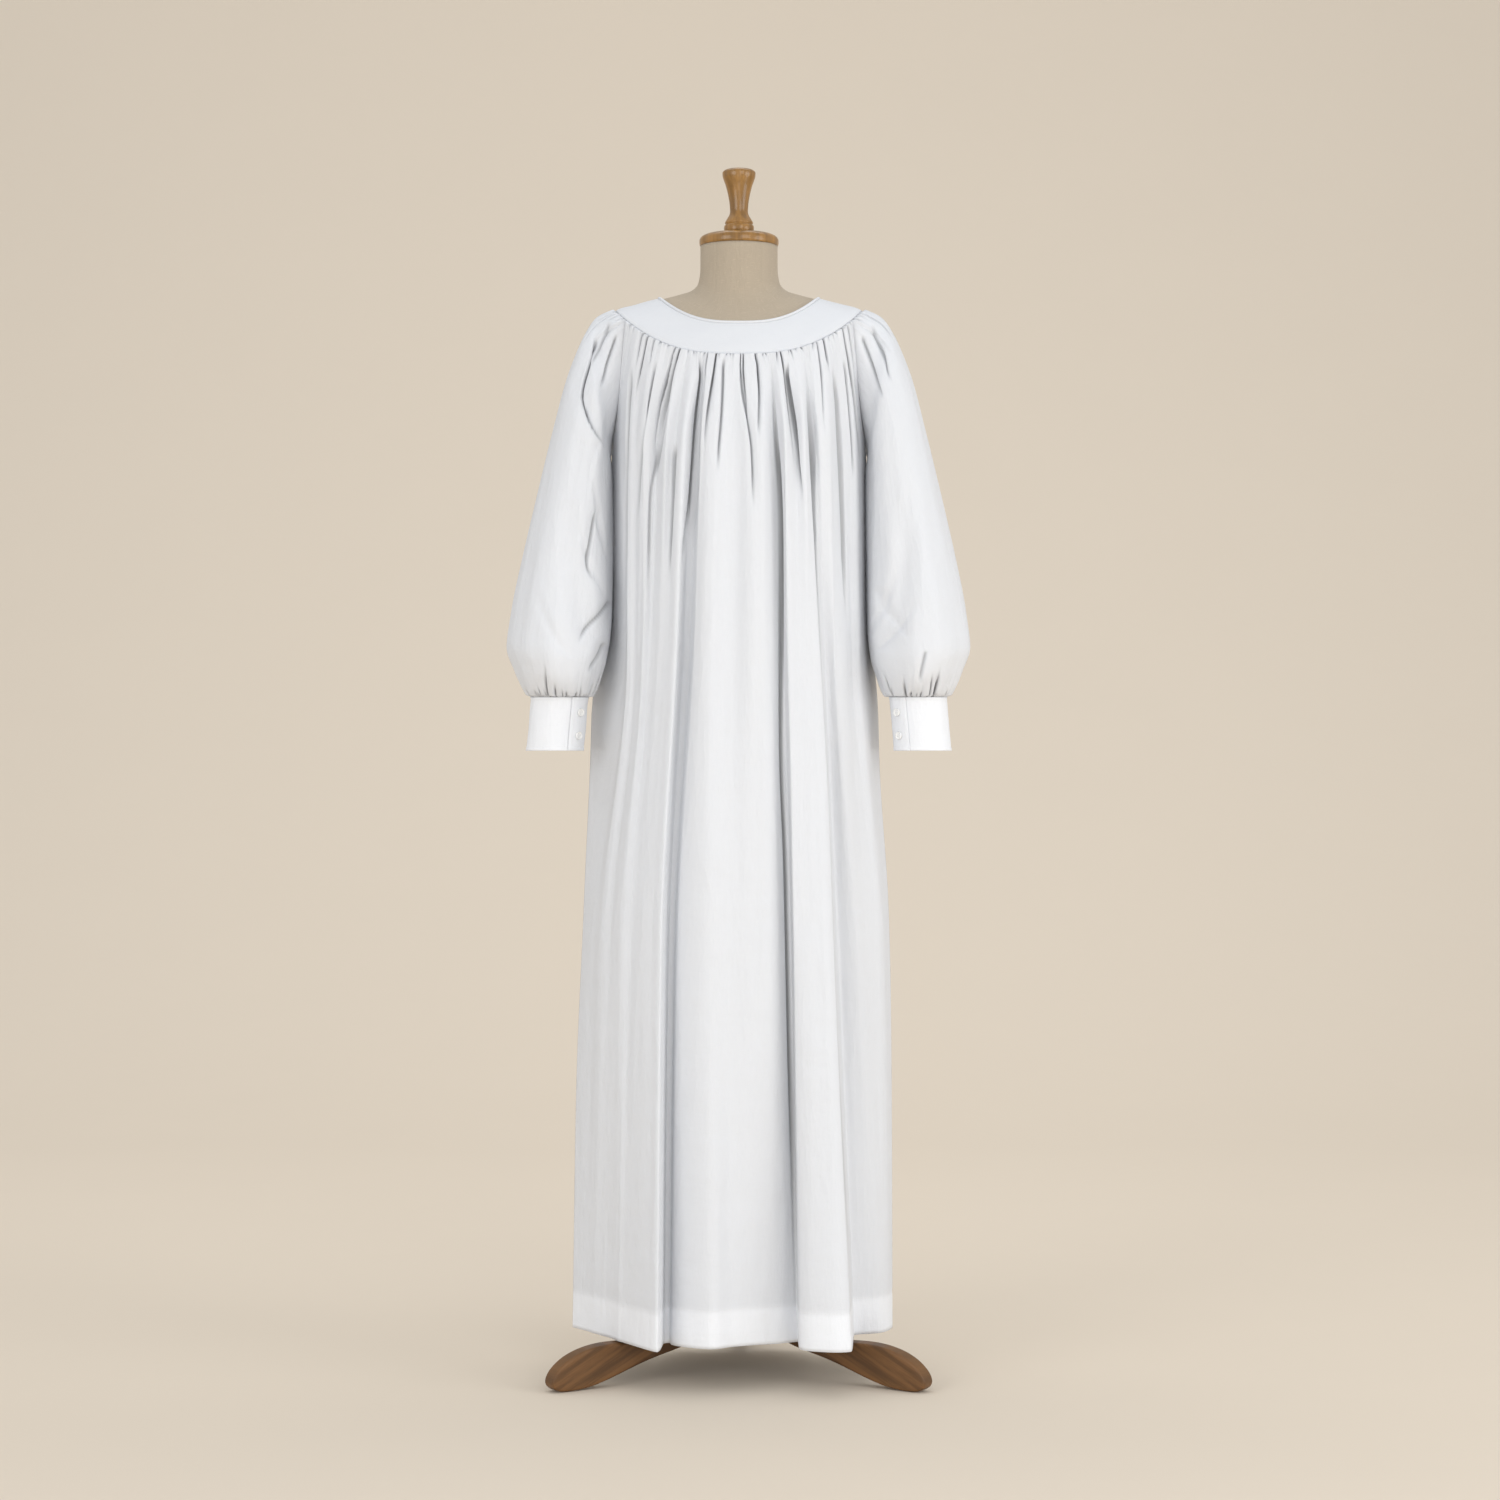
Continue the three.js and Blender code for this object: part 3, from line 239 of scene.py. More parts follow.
# ---- Numbers between the rows of a table ----
def smooth(s):
    """0 up to 0, 1 from 1 on, and an even step between."""
    t = np.clip(s, 0.0, 1.0)
    return t * t * (3 - 2 * t)


def along(places, values, at):
    """Values between the rows of a table, by a cubic through them that never overshoots."""
    places = np.asarray(places, float)
    values = np.asarray(values, float)
    if places[-1] < places[0]:
        places, values = places[::-1], values[::-1]
    steps = np.diff(places)
    chords = np.diff(values, axis=0) / steps.reshape((-1,) + (1,) * (values.ndim - 1))
    slopes = np.empty_like(values)
    slopes[0], slopes[-1] = chords[0], chords[-1]
    product = chords[:-1] * chords[1:]
    total = chords[:-1] + chords[1:]
    total[total == 0] = 1.0
    slopes[1:-1] = np.where(product > 0, 2 * product / total, 0.0)
    at = np.clip(np.asarray(at, float), places[0], places[-1])
    i = np.clip(np.searchsorted(places, at, side="right") - 1, 0, len(places) - 2)
    extra = (1,) * (values.ndim - 1)
    s = ((at - places[i]) / steps[i]).reshape(at.shape + extra)
    step = steps[i].reshape(at.shape + extra)
    bend = step * s * (1 - s) * (slopes[i] * (1 - s) - slopes[i + 1] * s)
    return values[i] + (values[i + 1] - values[i]) * s * s * (3 - 2 * s) + bend


def unit(vectors):
    """The vectors at a length of 1."""
    return vectors / np.maximum(np.linalg.norm(vectors, axis=-1, keepdims=True), 1e-9)


def points(x, y, z):
    """An array of points from their three places."""
    return np.stack(np.broadcast_arrays(x, y, z), axis=-1).astype(float)


def lengths_along(line):
    """The length run at each point of a line."""
    return np.concatenate([[0], np.cumsum(np.linalg.norm(np.diff(line, axis=0), axis=1))])


def in_scene(grid):
    """Points in millimetres from the pole's axis, in the scene's metres."""
    return (grid + AXIS) / 1000


def mirror_side(grid, side):
    """The points as they are on one side, from those for the arm on +X."""
    return grid * (side, 1, 1)


def ring_of(grid):
    """A closed grid with its last column before its first, and its first after its last."""
    return np.concatenate([grid[:, -1:], grid, grid[:, :1]], axis=1)


def grid_normals(grid, closed=False):
    """The way out of a grid of points whose rows go down and whose columns go to the wearer's left."""
    down = np.gradient(grid, axis=0)
    across = np.gradient(ring_of(grid), axis=1)[:, 1:-1] if closed else np.gradient(grid, axis=1)
    return unit(np.cross(down, across))


# ---- The form and the yoke ----
def on_form(degrees, level, lift=0.0):
    """Points on the form at angles from the centre front and at levels of FORM_RINGS, lifted off it."""

    def place(turn, at):
        ring = along(np.arange(len(FORM_RINGS)), FORM_RINGS, at)
        half, front, back, side, fore, rear = np.moveaxis(ring, -1, 0)
        s, c = np.sin(np.radians(turn)), np.cos(np.radians(turn))
        middle = np.where(c > 0, fore, rear)
        rise = np.abs(s) ** RING_RISE
        return points(half * s, -np.where(c > 0, front, back) * c, middle + (side - middle) * rise)

    degrees, level = np.broadcast_arrays(np.asarray(degrees, float), np.asarray(level, float))
    down = place(degrees, level + 0.01) - place(degrees, level - 0.01)
    turn = place(degrees + 0.01, level) - place(degrees - 0.01, level)
    return place(degrees, level) + unit(np.cross(down, turn)) * np.asarray(lift)[..., None]


def out_of_form(degrees, level):
    """The way out of the form at its points."""
    return on_form(degrees, level, 1.0) - on_form(degrees, level, 0.0)


def yoke_seam(degrees):
    """The outer face of what is gathered into the yoke, at its sewn edge."""
    seam = on_form(degrees, YOKE_END, YOKE_LIFT + YOKE_WALL - 0.3)
    down = unit(on_form(degrees, YOKE_END + 0.01, 1.0) - on_form(degrees, YOKE_END, 1.0))
    return seam + down * SEAM_GAP


# ---- Gathers ----
class Gathers:
    """A gathered strip: cloth puffed out between slits that differ in depth and length, in millimetres.

    An arc in degrees spaces the slits as evenly as they look from the front, and fans them out below the seam.
    """

    def __init__(self, count, seed, short, long, arc=0.0):
        i = np.arange(count + 1)
        shift = 0.24 * np.sin(seed + i * 2.63) + 0.14 * np.sin(seed * 3 + i * 4.7)
        shift[[0, -1]] = 0
        self.slits = (i + shift) / count
        if arc:
            turned = np.degrees(np.arcsin((2 * self.slits - 1) * math.sin(math.radians(arc))))
            self.slits = 0.3 * self.slits + 0.7 * (0.5 + turned / (2 * arc))
        self.fan = 0.1 if arc else 0.0
        self.width = np.gradient(self.slits)
        spread = 0.5 + 0.5 * np.sin(seed * 5 + i * 2.17)
        kind = np.sin(seed * 7 + i * 1.31)
        shorter = short * (0.6 + 1.6 * spread * (kind > -0.2))
        self.length = np.where(kind > 0.5, long * (0.45 + 0.55 * spread), shorter)
        self.depth = np.where(kind > 0.5, 1.0, 0.55 + 0.4 * spread)
        self.soft_side = np.where(np.sin(seed * 11 + i * 3.9) > 0, 1.0, -1.0)
        self.lean = 0.3 * np.sin(seed * 2 + i * 5.3)
        self.puff = 0.7 + 0.3 * np.sin(seed * 2 + i * 1.91)

    def relief(self, place, drop):
        """How far the cloth stands out, how far it laps over a slit, and how deep in a slit it is, for painted shade.

        All are shares of a full gather, for a place and a distance from its seam. A lap towards a higher place is
        above 0.
        """
        place, drop = np.broadcast_arrays(place, drop)
        ends = smooth(np.minimum(place, 1 - place) / (0.4 * self.width[0]))
        place = 0.5 + (place - 0.5) / (1 + self.fan * (1 - np.exp(-drop / 40)))
        after = np.clip(np.searchsorted(self.slits, place, side="right"), 1, len(self.slits) - 1)
        deepest, lap, dark = np.zeros_like(place), np.zeros_like(place), np.zeros_like(place)
        crisp = 0.15 * (1 + 0.3 * smooth(drop / 60))
        soft = 0.36 * (1 + 1.0 * smooth(drop / 70))
        for k in (after - 1, after):
            away = (place - self.slits[k]) / self.width[k] - self.lean[k] * smooth(drop / 90)
            away = away * self.soft_side[k]
            left = self.depth[k] * (1 - smooth((drop - 0.2 * self.length[k]) / (0.8 * self.length[k])))
            near = 1 - smooth(np.abs(away) / (np.where(away > 0, 1.5 * crisp, crisp) * (0.65 + 0.7 * left)))
            slope = 1 - smooth(np.abs(away) / np.where(away > 0, soft, crisp))
            deepest = np.maximum(deepest, left * (0.6 * near + 0.4 * slope))
            dark = np.maximum(dark, left * near)
            lip = np.where(away > 0, 0, smooth(-away / crisp) * (1 - smooth((-away - crisp) / 0.3)))
            lap = lap + self.soft_side[k] * left * lip
        s = np.clip((place - self.slits[after - 1]) / (self.slits[after] - self.slits[after - 1]), 0, 1)
        puff = self.puff[after] * np.sin(np.pi * s) ** 0.8 * np.exp(-drop / 24)
        return (0.32 * puff - deepest) * ends, lap * ends, dark * ends


def strips(count, seed, short, long, arc=0.0):
    """The gathers of a seam, and the finer ones between them, each with its size."""
    fine = Gathers(round(count * 1.8), seed + 5, short * 0.35, short * 0.6, arc)
    return (Gathers(count, seed, short, long, arc), 1.0), (fine, 0.5)


def gathered_seam(height, place, drop, layers):
    """The rise, the lap and the tuck of a seam's gathers, in millimetres but for the tuck, which is 0 to 1 and sets
    painted shade.
    """
    rise, lap, tuck = 0, 0, 0
    for gathers, size in layers:
        out, over, deep = gathers.relief(place, drop)
        rise, lap, tuck = rise + size * out, lap + size * over, np.maximum(tuck, size * deep)
    start = 0.3 + 0.7 * smooth(drop / 4)
    proud = 0.45 * smooth(drop / 6) * (1 - smooth((drop - 10) / 90))
    return height * (rise * start + proud), 0.32 * height * lap * start, tuck


def creases_on(grid, creases, facing):
    """How far creases drawn on a front view lie in at each point, each crisp on one side and soft on the other.

    Also gives how far the crisp side laps over the crease, along X, and how deep in it a point is, from 0 to 1, which
    sets painted shade in the cloth's colour. Depths and widths are in millimetres.
    """
    into, lap, tuck = (np.zeros(grid.shape[:2]) for _ in range(3))
    seen = grid[..., [0, 2]]
    for line, depth, left, right in creases:
        line = np.array(line, float)[:, ::-1]
        fine = along(np.arange(len(line)), line, np.linspace(0, len(line) - 1, 8 * (len(line) - 1) + 1))
        run = lengths_along(fine)
        nearest = np.full(into.shape, 1e9)
        beside, share = np.zeros_like(nearest), np.zeros_like(nearest)
        for k, (start, end) in enumerate(zip(fine, fine[1:])):
            way = (end - start) / np.linalg.norm(end - start)
            reach = np.clip((seen - start) @ way, 0, run[k + 1] - run[k])
            off = seen - start - reach[..., None] * way
            far = np.linalg.norm(off, axis=-1)
            closer = far < nearest
            nearest[closer] = far[closer]
            beside[closer] = np.sign(off[..., 1] * way[0] - off[..., 0] * way[1])[closer]
            share[closer] = (run[k] + reach[closer]) / run[-1]
        wide = np.where(beside < 0, left, right)
        ends = smooth(share / 0.12) * smooth((1 - share) / 0.3)
        crisp, way = (left, 1) if left < right else (right, -1)
        core = (1 - smooth(nearest / np.minimum(wide, 3.4))) * (crisp < 6)
        into = np.maximum(into, depth * ends * (0.5 * core + 0.5 * (1 - smooth(nearest / wide))))
        tuck = np.maximum(tuck, min(depth / 9, 1.0) * ends * core)
        if crisp < 6:
            lip = smooth(nearest / crisp) * (1 - smooth((nearest - crisp) / (2.5 * crisp)))
            lap = lap + way * np.where(beside == -way, 0.32 * depth * ends * lip, 0)
    return into * facing, lap * facing, tuck * facing


# ---- The front and the back ----
def climb(degrees, fall):
    """How much higher than at the centre front the cloth hangs, because the yoke's seam climbs to the shoulder."""
    return (yoke_seam(degrees)[..., 2] - YOKE_SEAM) * np.clip((fall - UNDERARM) / (YOKE_SEAM - UNDERARM), 0, 1)


def leave_seam(fall):
    """0 on the yoke's seam, and 1 where the cloth hangs free of it."""
    return smooth((YOKE_SEAM - fall) / 24)


def panel_edge(fall, is_back, side):
    """A panel's edge at a height: where it hangs, and where it lies once it is drawn to the yoke seam."""
    half, lean, apart, back = along(EDGES[:, 0], EDGES[:, 1:], fall)
    corner = 180 - RAGLAN if is_back else RAGLAN
    apart = max(apart, SEAM_GAP / 2) * (1 if is_back else -1)
    hung = np.array([half * side + lean, back + apart, fall + climb(corner, fall)])
    seam = yoke_seam(corner) * (side, 1, 1)
    return hung, seam + (hung - seam) * leave_seam(fall)


def panel_places(folds):
    """Where the folds start round the yoke, in degrees, and as shares of the panel's width with its two edges."""
    starts = np.degrees(np.arcsin([x[0] / FORM_RINGS[int(YOKE_END), 0] for x, _ in folds]))
    return starts, np.concatenate([[0], (starts + RAGLAN) / (2 * RAGLAN), [1]])


def panel_base(folds, is_back, places, falls):
    """The hung panel without its gathers: a grid of points, a row for each fall."""
    starts, lines = panel_places(folds)
    turn = -RAGLAN + 2 * RAGLAN * places
    degrees = 180 - turn if is_back else turn
    seam = yoke_seam(degrees)
    line_seam = yoke_seam(180 - starts if is_back else starts)
    rows = []
    for fall in falls:
        ends = [panel_edge(fall, is_back, side)[0] for side in (-1, 1)]
        x = [along(FOLD_HEIGHTS, [line_seam[i, 0], *fold[0][1:]], fall) for i, fold in enumerate(folds)]
        y = [along(FOLD_HEIGHTS, [line_seam[i, 1], *fold[1]], fall) for i, fold in enumerate(folds)]
        hung = points(
            along(lines, [ends[0][0], *x, ends[1][0]], places),
            along(lines, [ends[0][1], *y, ends[1][1]], places),
            fall + climb(degrees, fall),
        )
        rows.append(seam + (hung - seam) * leave_seam(fall))
    return np.array(rows)


def spread_places(count, folds, is_back):
    """Places across a panel, closer together where its folds are deep."""
    fine = np.linspace(0, 1, 2000)
    total = fine
    for fall in (HEM, 600.0):
        run = lengths_along(panel_base(folds, is_back, fine, [fall])[0])
        total = total + 0.45 * run / run[-1]
    return np.interp(np.linspace(0, total[-1], count), total, fine)


def hung_panel(name, height):
    """The finished outer face of the front or the back, its falls, and how deep in a tuck its points are, for painted
    shade.
    """
    panel, is_back = PANELS[name], name == "back"
    folds = panel["folds"]
    places = spread_places(PANEL_COLUMNS, folds, is_back)
    falls = np.concatenate([
        np.linspace(YOKE_SEAM, YOKE_SEAM - 42, 16, endpoint=False),
        np.linspace(YOKE_SEAM - 42, 1240, 28, endpoint=False),
        np.linspace(1240, 1000, 22, endpoint=False),
        np.linspace(1000, HEM + HEM_DEPTH + 6, 33, endpoint=False),
        np.linspace(HEM + HEM_DEPTH + 6, HEM, 12),
    ])
    base = panel_base(folds, is_back, places, falls)
    out = grid_normals(base) * (-1 if is_back else 1)
    drop = (YOKE_SEAM - falls)[:, None]
    gathers = strips(panel["count"], panel["seed"], 22, 170, RAGLAN)
    rise, lap, tuck = gathered_seam(height, places[None], drop, gathers)
    into, over, deep = creases_on(base, panel["creases"], 1.0)
    rise, lap, tuck = rise - into, lap + over, np.maximum(tuck, deep)
    edge = smooth(np.minimum(places, 1 - places) / 0.05)
    ripples = 0
    for k, (waves, size) in enumerate([(9, 1.5), (15, 0.8), (24, 0.3), (39, 0.12)]):
        turns = waves * places + panel["ripples"] * k + (0.4 + 0.23 * k) * drop / 900
        ripples = ripples + size * np.sin(2 * np.pi * turns + 1.3 * np.sin(drop / 310 + k))
    window = smooth((drop - 40) / 130) * (1 - 0.7 * smooth((drop - 300) / 500))
    rise = rise + ripples * window * edge
    stitch = np.abs(falls - HEM - HEM_DEPTH)[:, None]
    pucker = np.exp(-((stitch / 3.0) ** 2)) * (0.5 + 0.3 * np.sin(places * 310) + 0.2 * np.sin(places * 787))
    rise = rise - 0.55 * pucker
    across = unit(np.gradient(base, axis=1))
    return base + out * rise[..., None] + across * lap[..., None], falls, np.clip(tuck, 0, 1)


# ---- Sleeves and cuffs ----
def armhole(place):
    """The sleeve's sewn edge, for the arm on +X, from the underarm up the front seam and down the back one."""
    is_back = place > 0.5
    up = min(place, 1 - place) / SEAM_SHARE
    corner = RAGLAN + math.degrees(1.3 * SEAM_GAP / FORM_RINGS[int(YOKE_END), 0])
    if up >= 1:
        share = (place - SEAM_SHARE) / (1 - 2 * SEAM_SHARE)
        return yoke_seam(corner + (180 - 2 * corner) * share)
    fall = UNDERARM + (YOKE_SEAM - UNDERARM) * up
    point = panel_edge(fall, is_back, 1)[1]
    into = np.array([0.45, 0.9 if not is_back else -0.9, 0]) if up > 0.02 else np.array([0, 0, 1.0])
    return point + into * (SEAM_GAP + 0.05)


def sleeve_ring(ring, place):
    """Points round the arm on a row of SLEEVE_RINGS, starting under the arm."""
    outer, high, inner, low, reach, ahead = ring
    c, s = np.cos(2 * np.pi * place), np.sin(2 * np.pi * place)
    return points(
        (outer + inner) / 2 - (outer - inner) / 2 * c, -ahead - reach * s, (high + low) / 2 - (high - low) / 2 * c
    )


def full_sleeve(side, head, wrist, height):
    """A sleeve's outer face, for the arm on +X, with rows down the arm, and how deep in a tuck its points are, for
    painted shade.

    The gathers at the yoke are the head's, and those at the cuff the wrist's.
    """
    places = np.arange(SLEEVE_COLUMNS) / SLEEVE_COLUMNS
    stations = np.array([[armhole(p) for p in places], *[sleeve_ring(ring, places) for ring in SLEEVE_RINGS]])
    last = len(stations) - 1
    levels = np.concatenate([
        np.linspace(0, 1.2, 18, endpoint=False),
        np.linspace(1.2, 8.4, 78, endpoint=False),
        np.linspace(8.4, last, 36),
    ])
    base = along(np.arange(last + 1), stations, levels)
    out = grid_normals(base, closed=True)
    level = levels[:, None]
    share = (places - SEAM_SHARE) / (1 - 2 * SEAM_SHARE)
    at_yoke = ((share > 0) & (share < 1)).astype(float)
    from_cuff = last - level
    down = np.concatenate([[0], np.cumsum(np.linalg.norm(np.diff(base, axis=0), axis=2).mean(axis=1))])[:, None]
    up = down[-1] - down
    rise, lap, tuck = gathered_seam(height, np.clip(share, 0, 1)[None], down, head)
    rise, lap, tuck = rise * at_yoke, lap * at_yoke, tuck * at_yoke
    puffs, over, deep = gathered_seam(height, places[None], up, wrist)
    rise, lap, tuck = rise + puffs, lap + over, np.maximum(tuck, deep)
    facing = smooth((-base[..., 1] - 12 + 30 * (down < 60)) / 26)
    into, over, deep = creases_on(mirror_side(base, side), SLEEVE_LINES[side], facing)
    rise, tuck = rise - into, np.maximum(tuck, deep)
    for creases, power in ((CREASES[side], 1.0), (FINE_CREASES[side], 0.8)):
        for start, end, begin, finish, depth, reach in creases:
            t = np.clip((level - start) / (end - start), 0, 1)
            distance = ((places - (begin + (finish - begin) * t) + 1.5) % 1.0) - 0.5
            rise = rise - depth * np.sin(np.pi * t) ** power * (1 - smooth(np.abs(distance) / reach))
    seed = 1.0 if side > 0 else 2.7
    soft = sum(
        size * np.sin(2 * np.pi * (waves * places + seed * k) + level * drift)
        for k, (waves, size, drift) in enumerate([(5, 1.1, 0.7), (9, 0.6, -0.5), (14, 0.25, 0.9)])
    )
    rise = rise + soft * smooth((level - 0.6) / 1.6) * smooth((from_cuff - 0.3) / 1.5)
    flat = out.copy()
    flat[..., 2] *= np.clip(from_cuff, 0, 1)
    around = unit(np.gradient(ring_of(base), axis=1)[:, 1:-1])
    moved = base + unit(flat) * rise[..., None] + around * lap[..., None]
    return moved + points(side * over, 0, 0), np.clip(tuck, 0, 1)


def cuff_out(around):
    """The way out of a cuff, for turns round the wrist."""
    turn = 2 * np.pi * np.asarray(around, float)
    width = (CUFF["outer"] - CUFF["inner"]) / 2
    return unit(points(-np.cos(turn) / width, -np.sin(turn) / CUFF["reach"], np.zeros_like(turn)))


def cuff_band(share, drop):
    """The outer face of a cuff for the arm on +X, whose far end laps over its start."""
    around = CUFF_START + share * (1 + CUFF_LAP)
    lap = smooth((around - 1 + 0.02) / 0.07) * (CUFF_WALL + 0.4)
    ring = (CUFF["outer"], 0.0, CUFF["inner"], 0.0, CUFF["reach"], CUFF["ahead"])
    band = sleeve_ring(ring, around) + cuff_out(around) * np.asarray(lap)[..., None]
    band[..., 2] = CUFF["top"] - drop
    band[..., 0] += CUFF_SPLAY * drop / CUFF["height"]
    return band


def cuff_face(share, drop, side):
    """A cuff's slightly uneven outer face with its two firm edges, and the way out of it."""
    share, drop = np.broadcast_arrays(share, np.asarray(drop, float))
    rim = 0.5 * (smooth((drop - 68) / 1.5) + smooth((4 - drop) / 1.5))
    swell = 0.35 * np.sin(drop / 9) * np.sin(share * 21 + side) + rim
    out = cuff_out(CUFF_START + share * (1 + CUFF_LAP))
    return mirror_side(cuff_band(share, drop) + out * swell[..., None], side), mirror_side(out, side)


# ---- Meshes ----
def new_object(name, mesh, material):
    """A new object of a mesh and its one material."""
    piece = bpy.data.objects.new(name, mesh)
    bpy.context.scene.collection.objects.link(piece)
    piece.data.materials.clear()
    piece.data.materials.append(material)
    return piece


def cloth_mesh(name, grid, closed=False, turned=False):
    """A sheet of quads from a grid in millimetres, whose UV map holds the cloth's own measures in metres."""
    rows, columns = grid.shape[:2]
    r, c = np.meshgrid(np.arange(rows - 1), np.arange(columns if closed else columns - 1), indexing="ij")
    row, below, after = r * columns, (r + 1) * columns, (c + 1) % columns
    quads = np.stack([row + c, below + c, below + after, row + after], axis=-1)
    wide = np.stack([r, c], axis=-1)
    corners = np.stack([wide, wide + (1, 0), wide + (1, 1), wide + (0, 1)], axis=-2)
    if turned:
        quads, corners = quads[..., ::-1], corners[..., ::-1, :]
    mesh = bpy.data.meshes.new(name)
    mesh.from_pydata(in_scene(grid).reshape(-1, 3).tolist(), [], quads.reshape(-1, 4).tolist())
    cut = corners.reshape(-1, 2)
    uv = mesh.uv_layers.new(name="cloth")
    uv.data.foreach_set("uv", measured(grid, closed)[cut[:, 0], cut[:, 1]].astype(np.float32).ravel())
    mesh.polygons.foreach_set("use_smooth", np.ones(len(mesh.polygons), bool))
    mesh.update()
    return mesh


def measured(grid, closed):
    """The cloth's own measures in metres at each point: along its middle row, and down its middle column."""
    wide = np.concatenate([grid, grid[:, :1]], axis=1) if closed else grid
    across = np.linalg.norm(np.diff(wide, axis=1), axis=2)
    down = np.linalg.norm(np.diff(wide, axis=0), axis=2).mean(axis=1)
    u = np.concatenate([[0], np.cumsum(across.mean(axis=0))]) / 1000
    v = np.concatenate([[0], np.cumsum(down)]) / 1000
    return np.stack(np.meshgrid(u, v), axis=-1)


def add_measure(piece, name, values):
    """A number at each point of a piece, which its material reads."""
    layer = piece.data.attributes.new(name, "FLOAT", "POINT")
    layer.data.foreach_set("value", np.asarray(values, np.float32).ravel())


def only(piece):
    """Selects one piece and makes it active."""
    bpy.ops.object.select_all(action="DESELECT")
    piece.select_set(True)
    bpy.context.view_layer.objects.active = piece


def apply_modifiers(piece):
    only(piece)
    for modifier in list(piece.modifiers):
        bpy.ops.object.modifier_apply(modifier=modifier.name)


def thicken(piece, thickness):
    """Gives a sheet its thickness, inwards from the outer face."""
    wall = piece.modifiers.new("cloth thickness", "SOLIDIFY")
    wall.thickness = thickness
    wall.offset = -1
    apply_modifiers(piece)


def finish_piece(piece, node):
    """Sets a piece on the root body, and hides the CAD node that it stands for."""
    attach(piece, "root")
    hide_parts(node)


def placed_copy(pattern, name, matrix, *materials):
    """A copy of a pattern with its own mesh, set in its place in that mesh."""
    piece = pattern.copy()
    piece.data = pattern.data.copy()
    piece.name = piece.data.name = name
    bpy.context.scene.collection.objects.link(piece)
    piece.data.transform(matrix)
    for material in materials:
        piece.data.materials.append(material_of(material))
    return piece


def edit_all():
    """Edit mode, with everything selected."""
    bpy.ops.object.mode_set(mode="EDIT")
    bpy.ops.mesh.select_all(action="SELECT")


def edit_where(piece, rule, of="polygons"):
    """Edit mode, with only those faces or corners selected for which a rule holds."""
    bpy.ops.object.mode_set(mode="EDIT")
    bpy.ops.mesh.select_all(action="DESELECT")
    bpy.ops.object.mode_set(mode="OBJECT")
    for element in getattr(piece.data, of):
        element.select = rule(element)
    bpy.ops.object.mode_set(mode="EDIT")


def close_up():
    """Turns all faces outwards and leaves edit mode."""
    bpy.ops.mesh.select_all(action="SELECT")
    bpy.ops.mesh.normals_make_consistent(inside=False)
    bpy.ops.object.mode_set(mode="OBJECT")


def bevel_edges(piece, name, width, segments, angle=30):
    """Adds a bevel, in metres, on the edges sharper than an angle in degrees."""
    edges = piece.modifiers.new(name, "BEVEL")
    edges.width, edges.segments, edges.limit_method = width, segments, "ANGLE"
    edges.angle_limit = math.radians(angle)


def sheet_piece(name, grid, material, node, thickness, turned=False, closed=False, layers=1.0, tuck=0.0):
    """A cloth piece from its outer face's grid, with its thickness, in place of a CAD node."""
    piece = new_object(name, cloth_mesh(name, grid, closed, turned), material)
    add_measure(piece, "layers", np.broadcast_to(layers, grid.shape[:2]))
    # The tuck measure darkens the cloth's colour as painted shade in its tucks.
    add_measure(piece, "tuck", np.broadcast_to(tuck, grid.shape[:2]))
    thicken(piece, thickness / 1000)
    finish_piece(piece, node)
    return piece


# ---- Shader groups ----
class Tree:
    """Adds linked nodes to a node tree."""

    def __init__(self, tree):
        self.tree = tree

    def add(self, kind, inputs=None, **settings):
        node = self.tree.nodes.new(kind)
        for name, value in settings.items():
            setattr(node, name, value)
        for key, value in (inputs or {}).items():
            if isinstance(value, bpy.types.NodeSocket):
                self.link(value, node.inputs[key])
            else:
                node.inputs[key].default_value = value
        return node

    def link(self, value, socket):
        self.tree.links.new(value, socket)

    def group(self, group, inputs):
        return self.add("ShaderNodeGroup", inputs, node_tree=group).outputs

    def math(self, operation, *values):
        return self.add("ShaderNodeMath", dict(enumerate(values)), operation=operation).outputs[0]

    def mix(self, share, first, second):
        inputs = {0: share, 6: first, 7: second}
        return self.add("ShaderNodeMix", inputs, data_type="RGBA").outputs[2]

    def noise(self, vector, scale, detail=3.0, roughness=0.5):
        inputs = {"Vector": vector, "Scale": scale, "Detail": detail, "Roughness": roughness}
        return self.add("ShaderNodeTexNoise", inputs).outputs["Fac"]

    def stretched(self, vector, by):
        return self.add("ShaderNodeMapping", {"Vector": vector, "Scale": by}).outputs[0]

    def scaled(self, vector, by):
        return self.add("ShaderNodeVectorMath", {0: vector, "Scale": by}, operation="SCALE").outputs[0]

    def bump(self, height, distance, strength=1.0, **after):
        inputs = {"Height": height, "Distance": distance, "Strength": strength, **after}
        return self.add("ShaderNodeBump", inputs).outputs[0]

    def surface(self, inputs):
        return self.add("ShaderNodeBsdfPrincipled", inputs).outputs[0]

    def finish(self, shader):
        self.add("ShaderNodeOutputMaterial", {"Surface": shader})

    def spread(self, value, low, high):
        inputs = {"Value": value, "From Min": low, "From Max": high}
        return self.add("ShaderNodeMapRange", inputs, interpolation_type="SMOOTHSTEP").outputs[0]


def shader_group(name, inputs, outputs):
    """An empty node group with named sockets, its tree and the node that holds its inputs."""
    group = bpy.data.node_groups.new(name, "ShaderNodeTree")
    for socket, kind, value in inputs:
        made = group.interface.new_socket(name=socket, in_out="INPUT", socket_type=kind)
        if value is not None:
            made.default_value = value
    for socket, kind in outputs:
        group.interface.new_socket(name=socket, in_out="OUTPUT", socket_type=kind)
    return group, Tree(group), group.nodes.new("NodeGroupInput").outputs, group.nodes.new("NodeGroupOutput").inputs


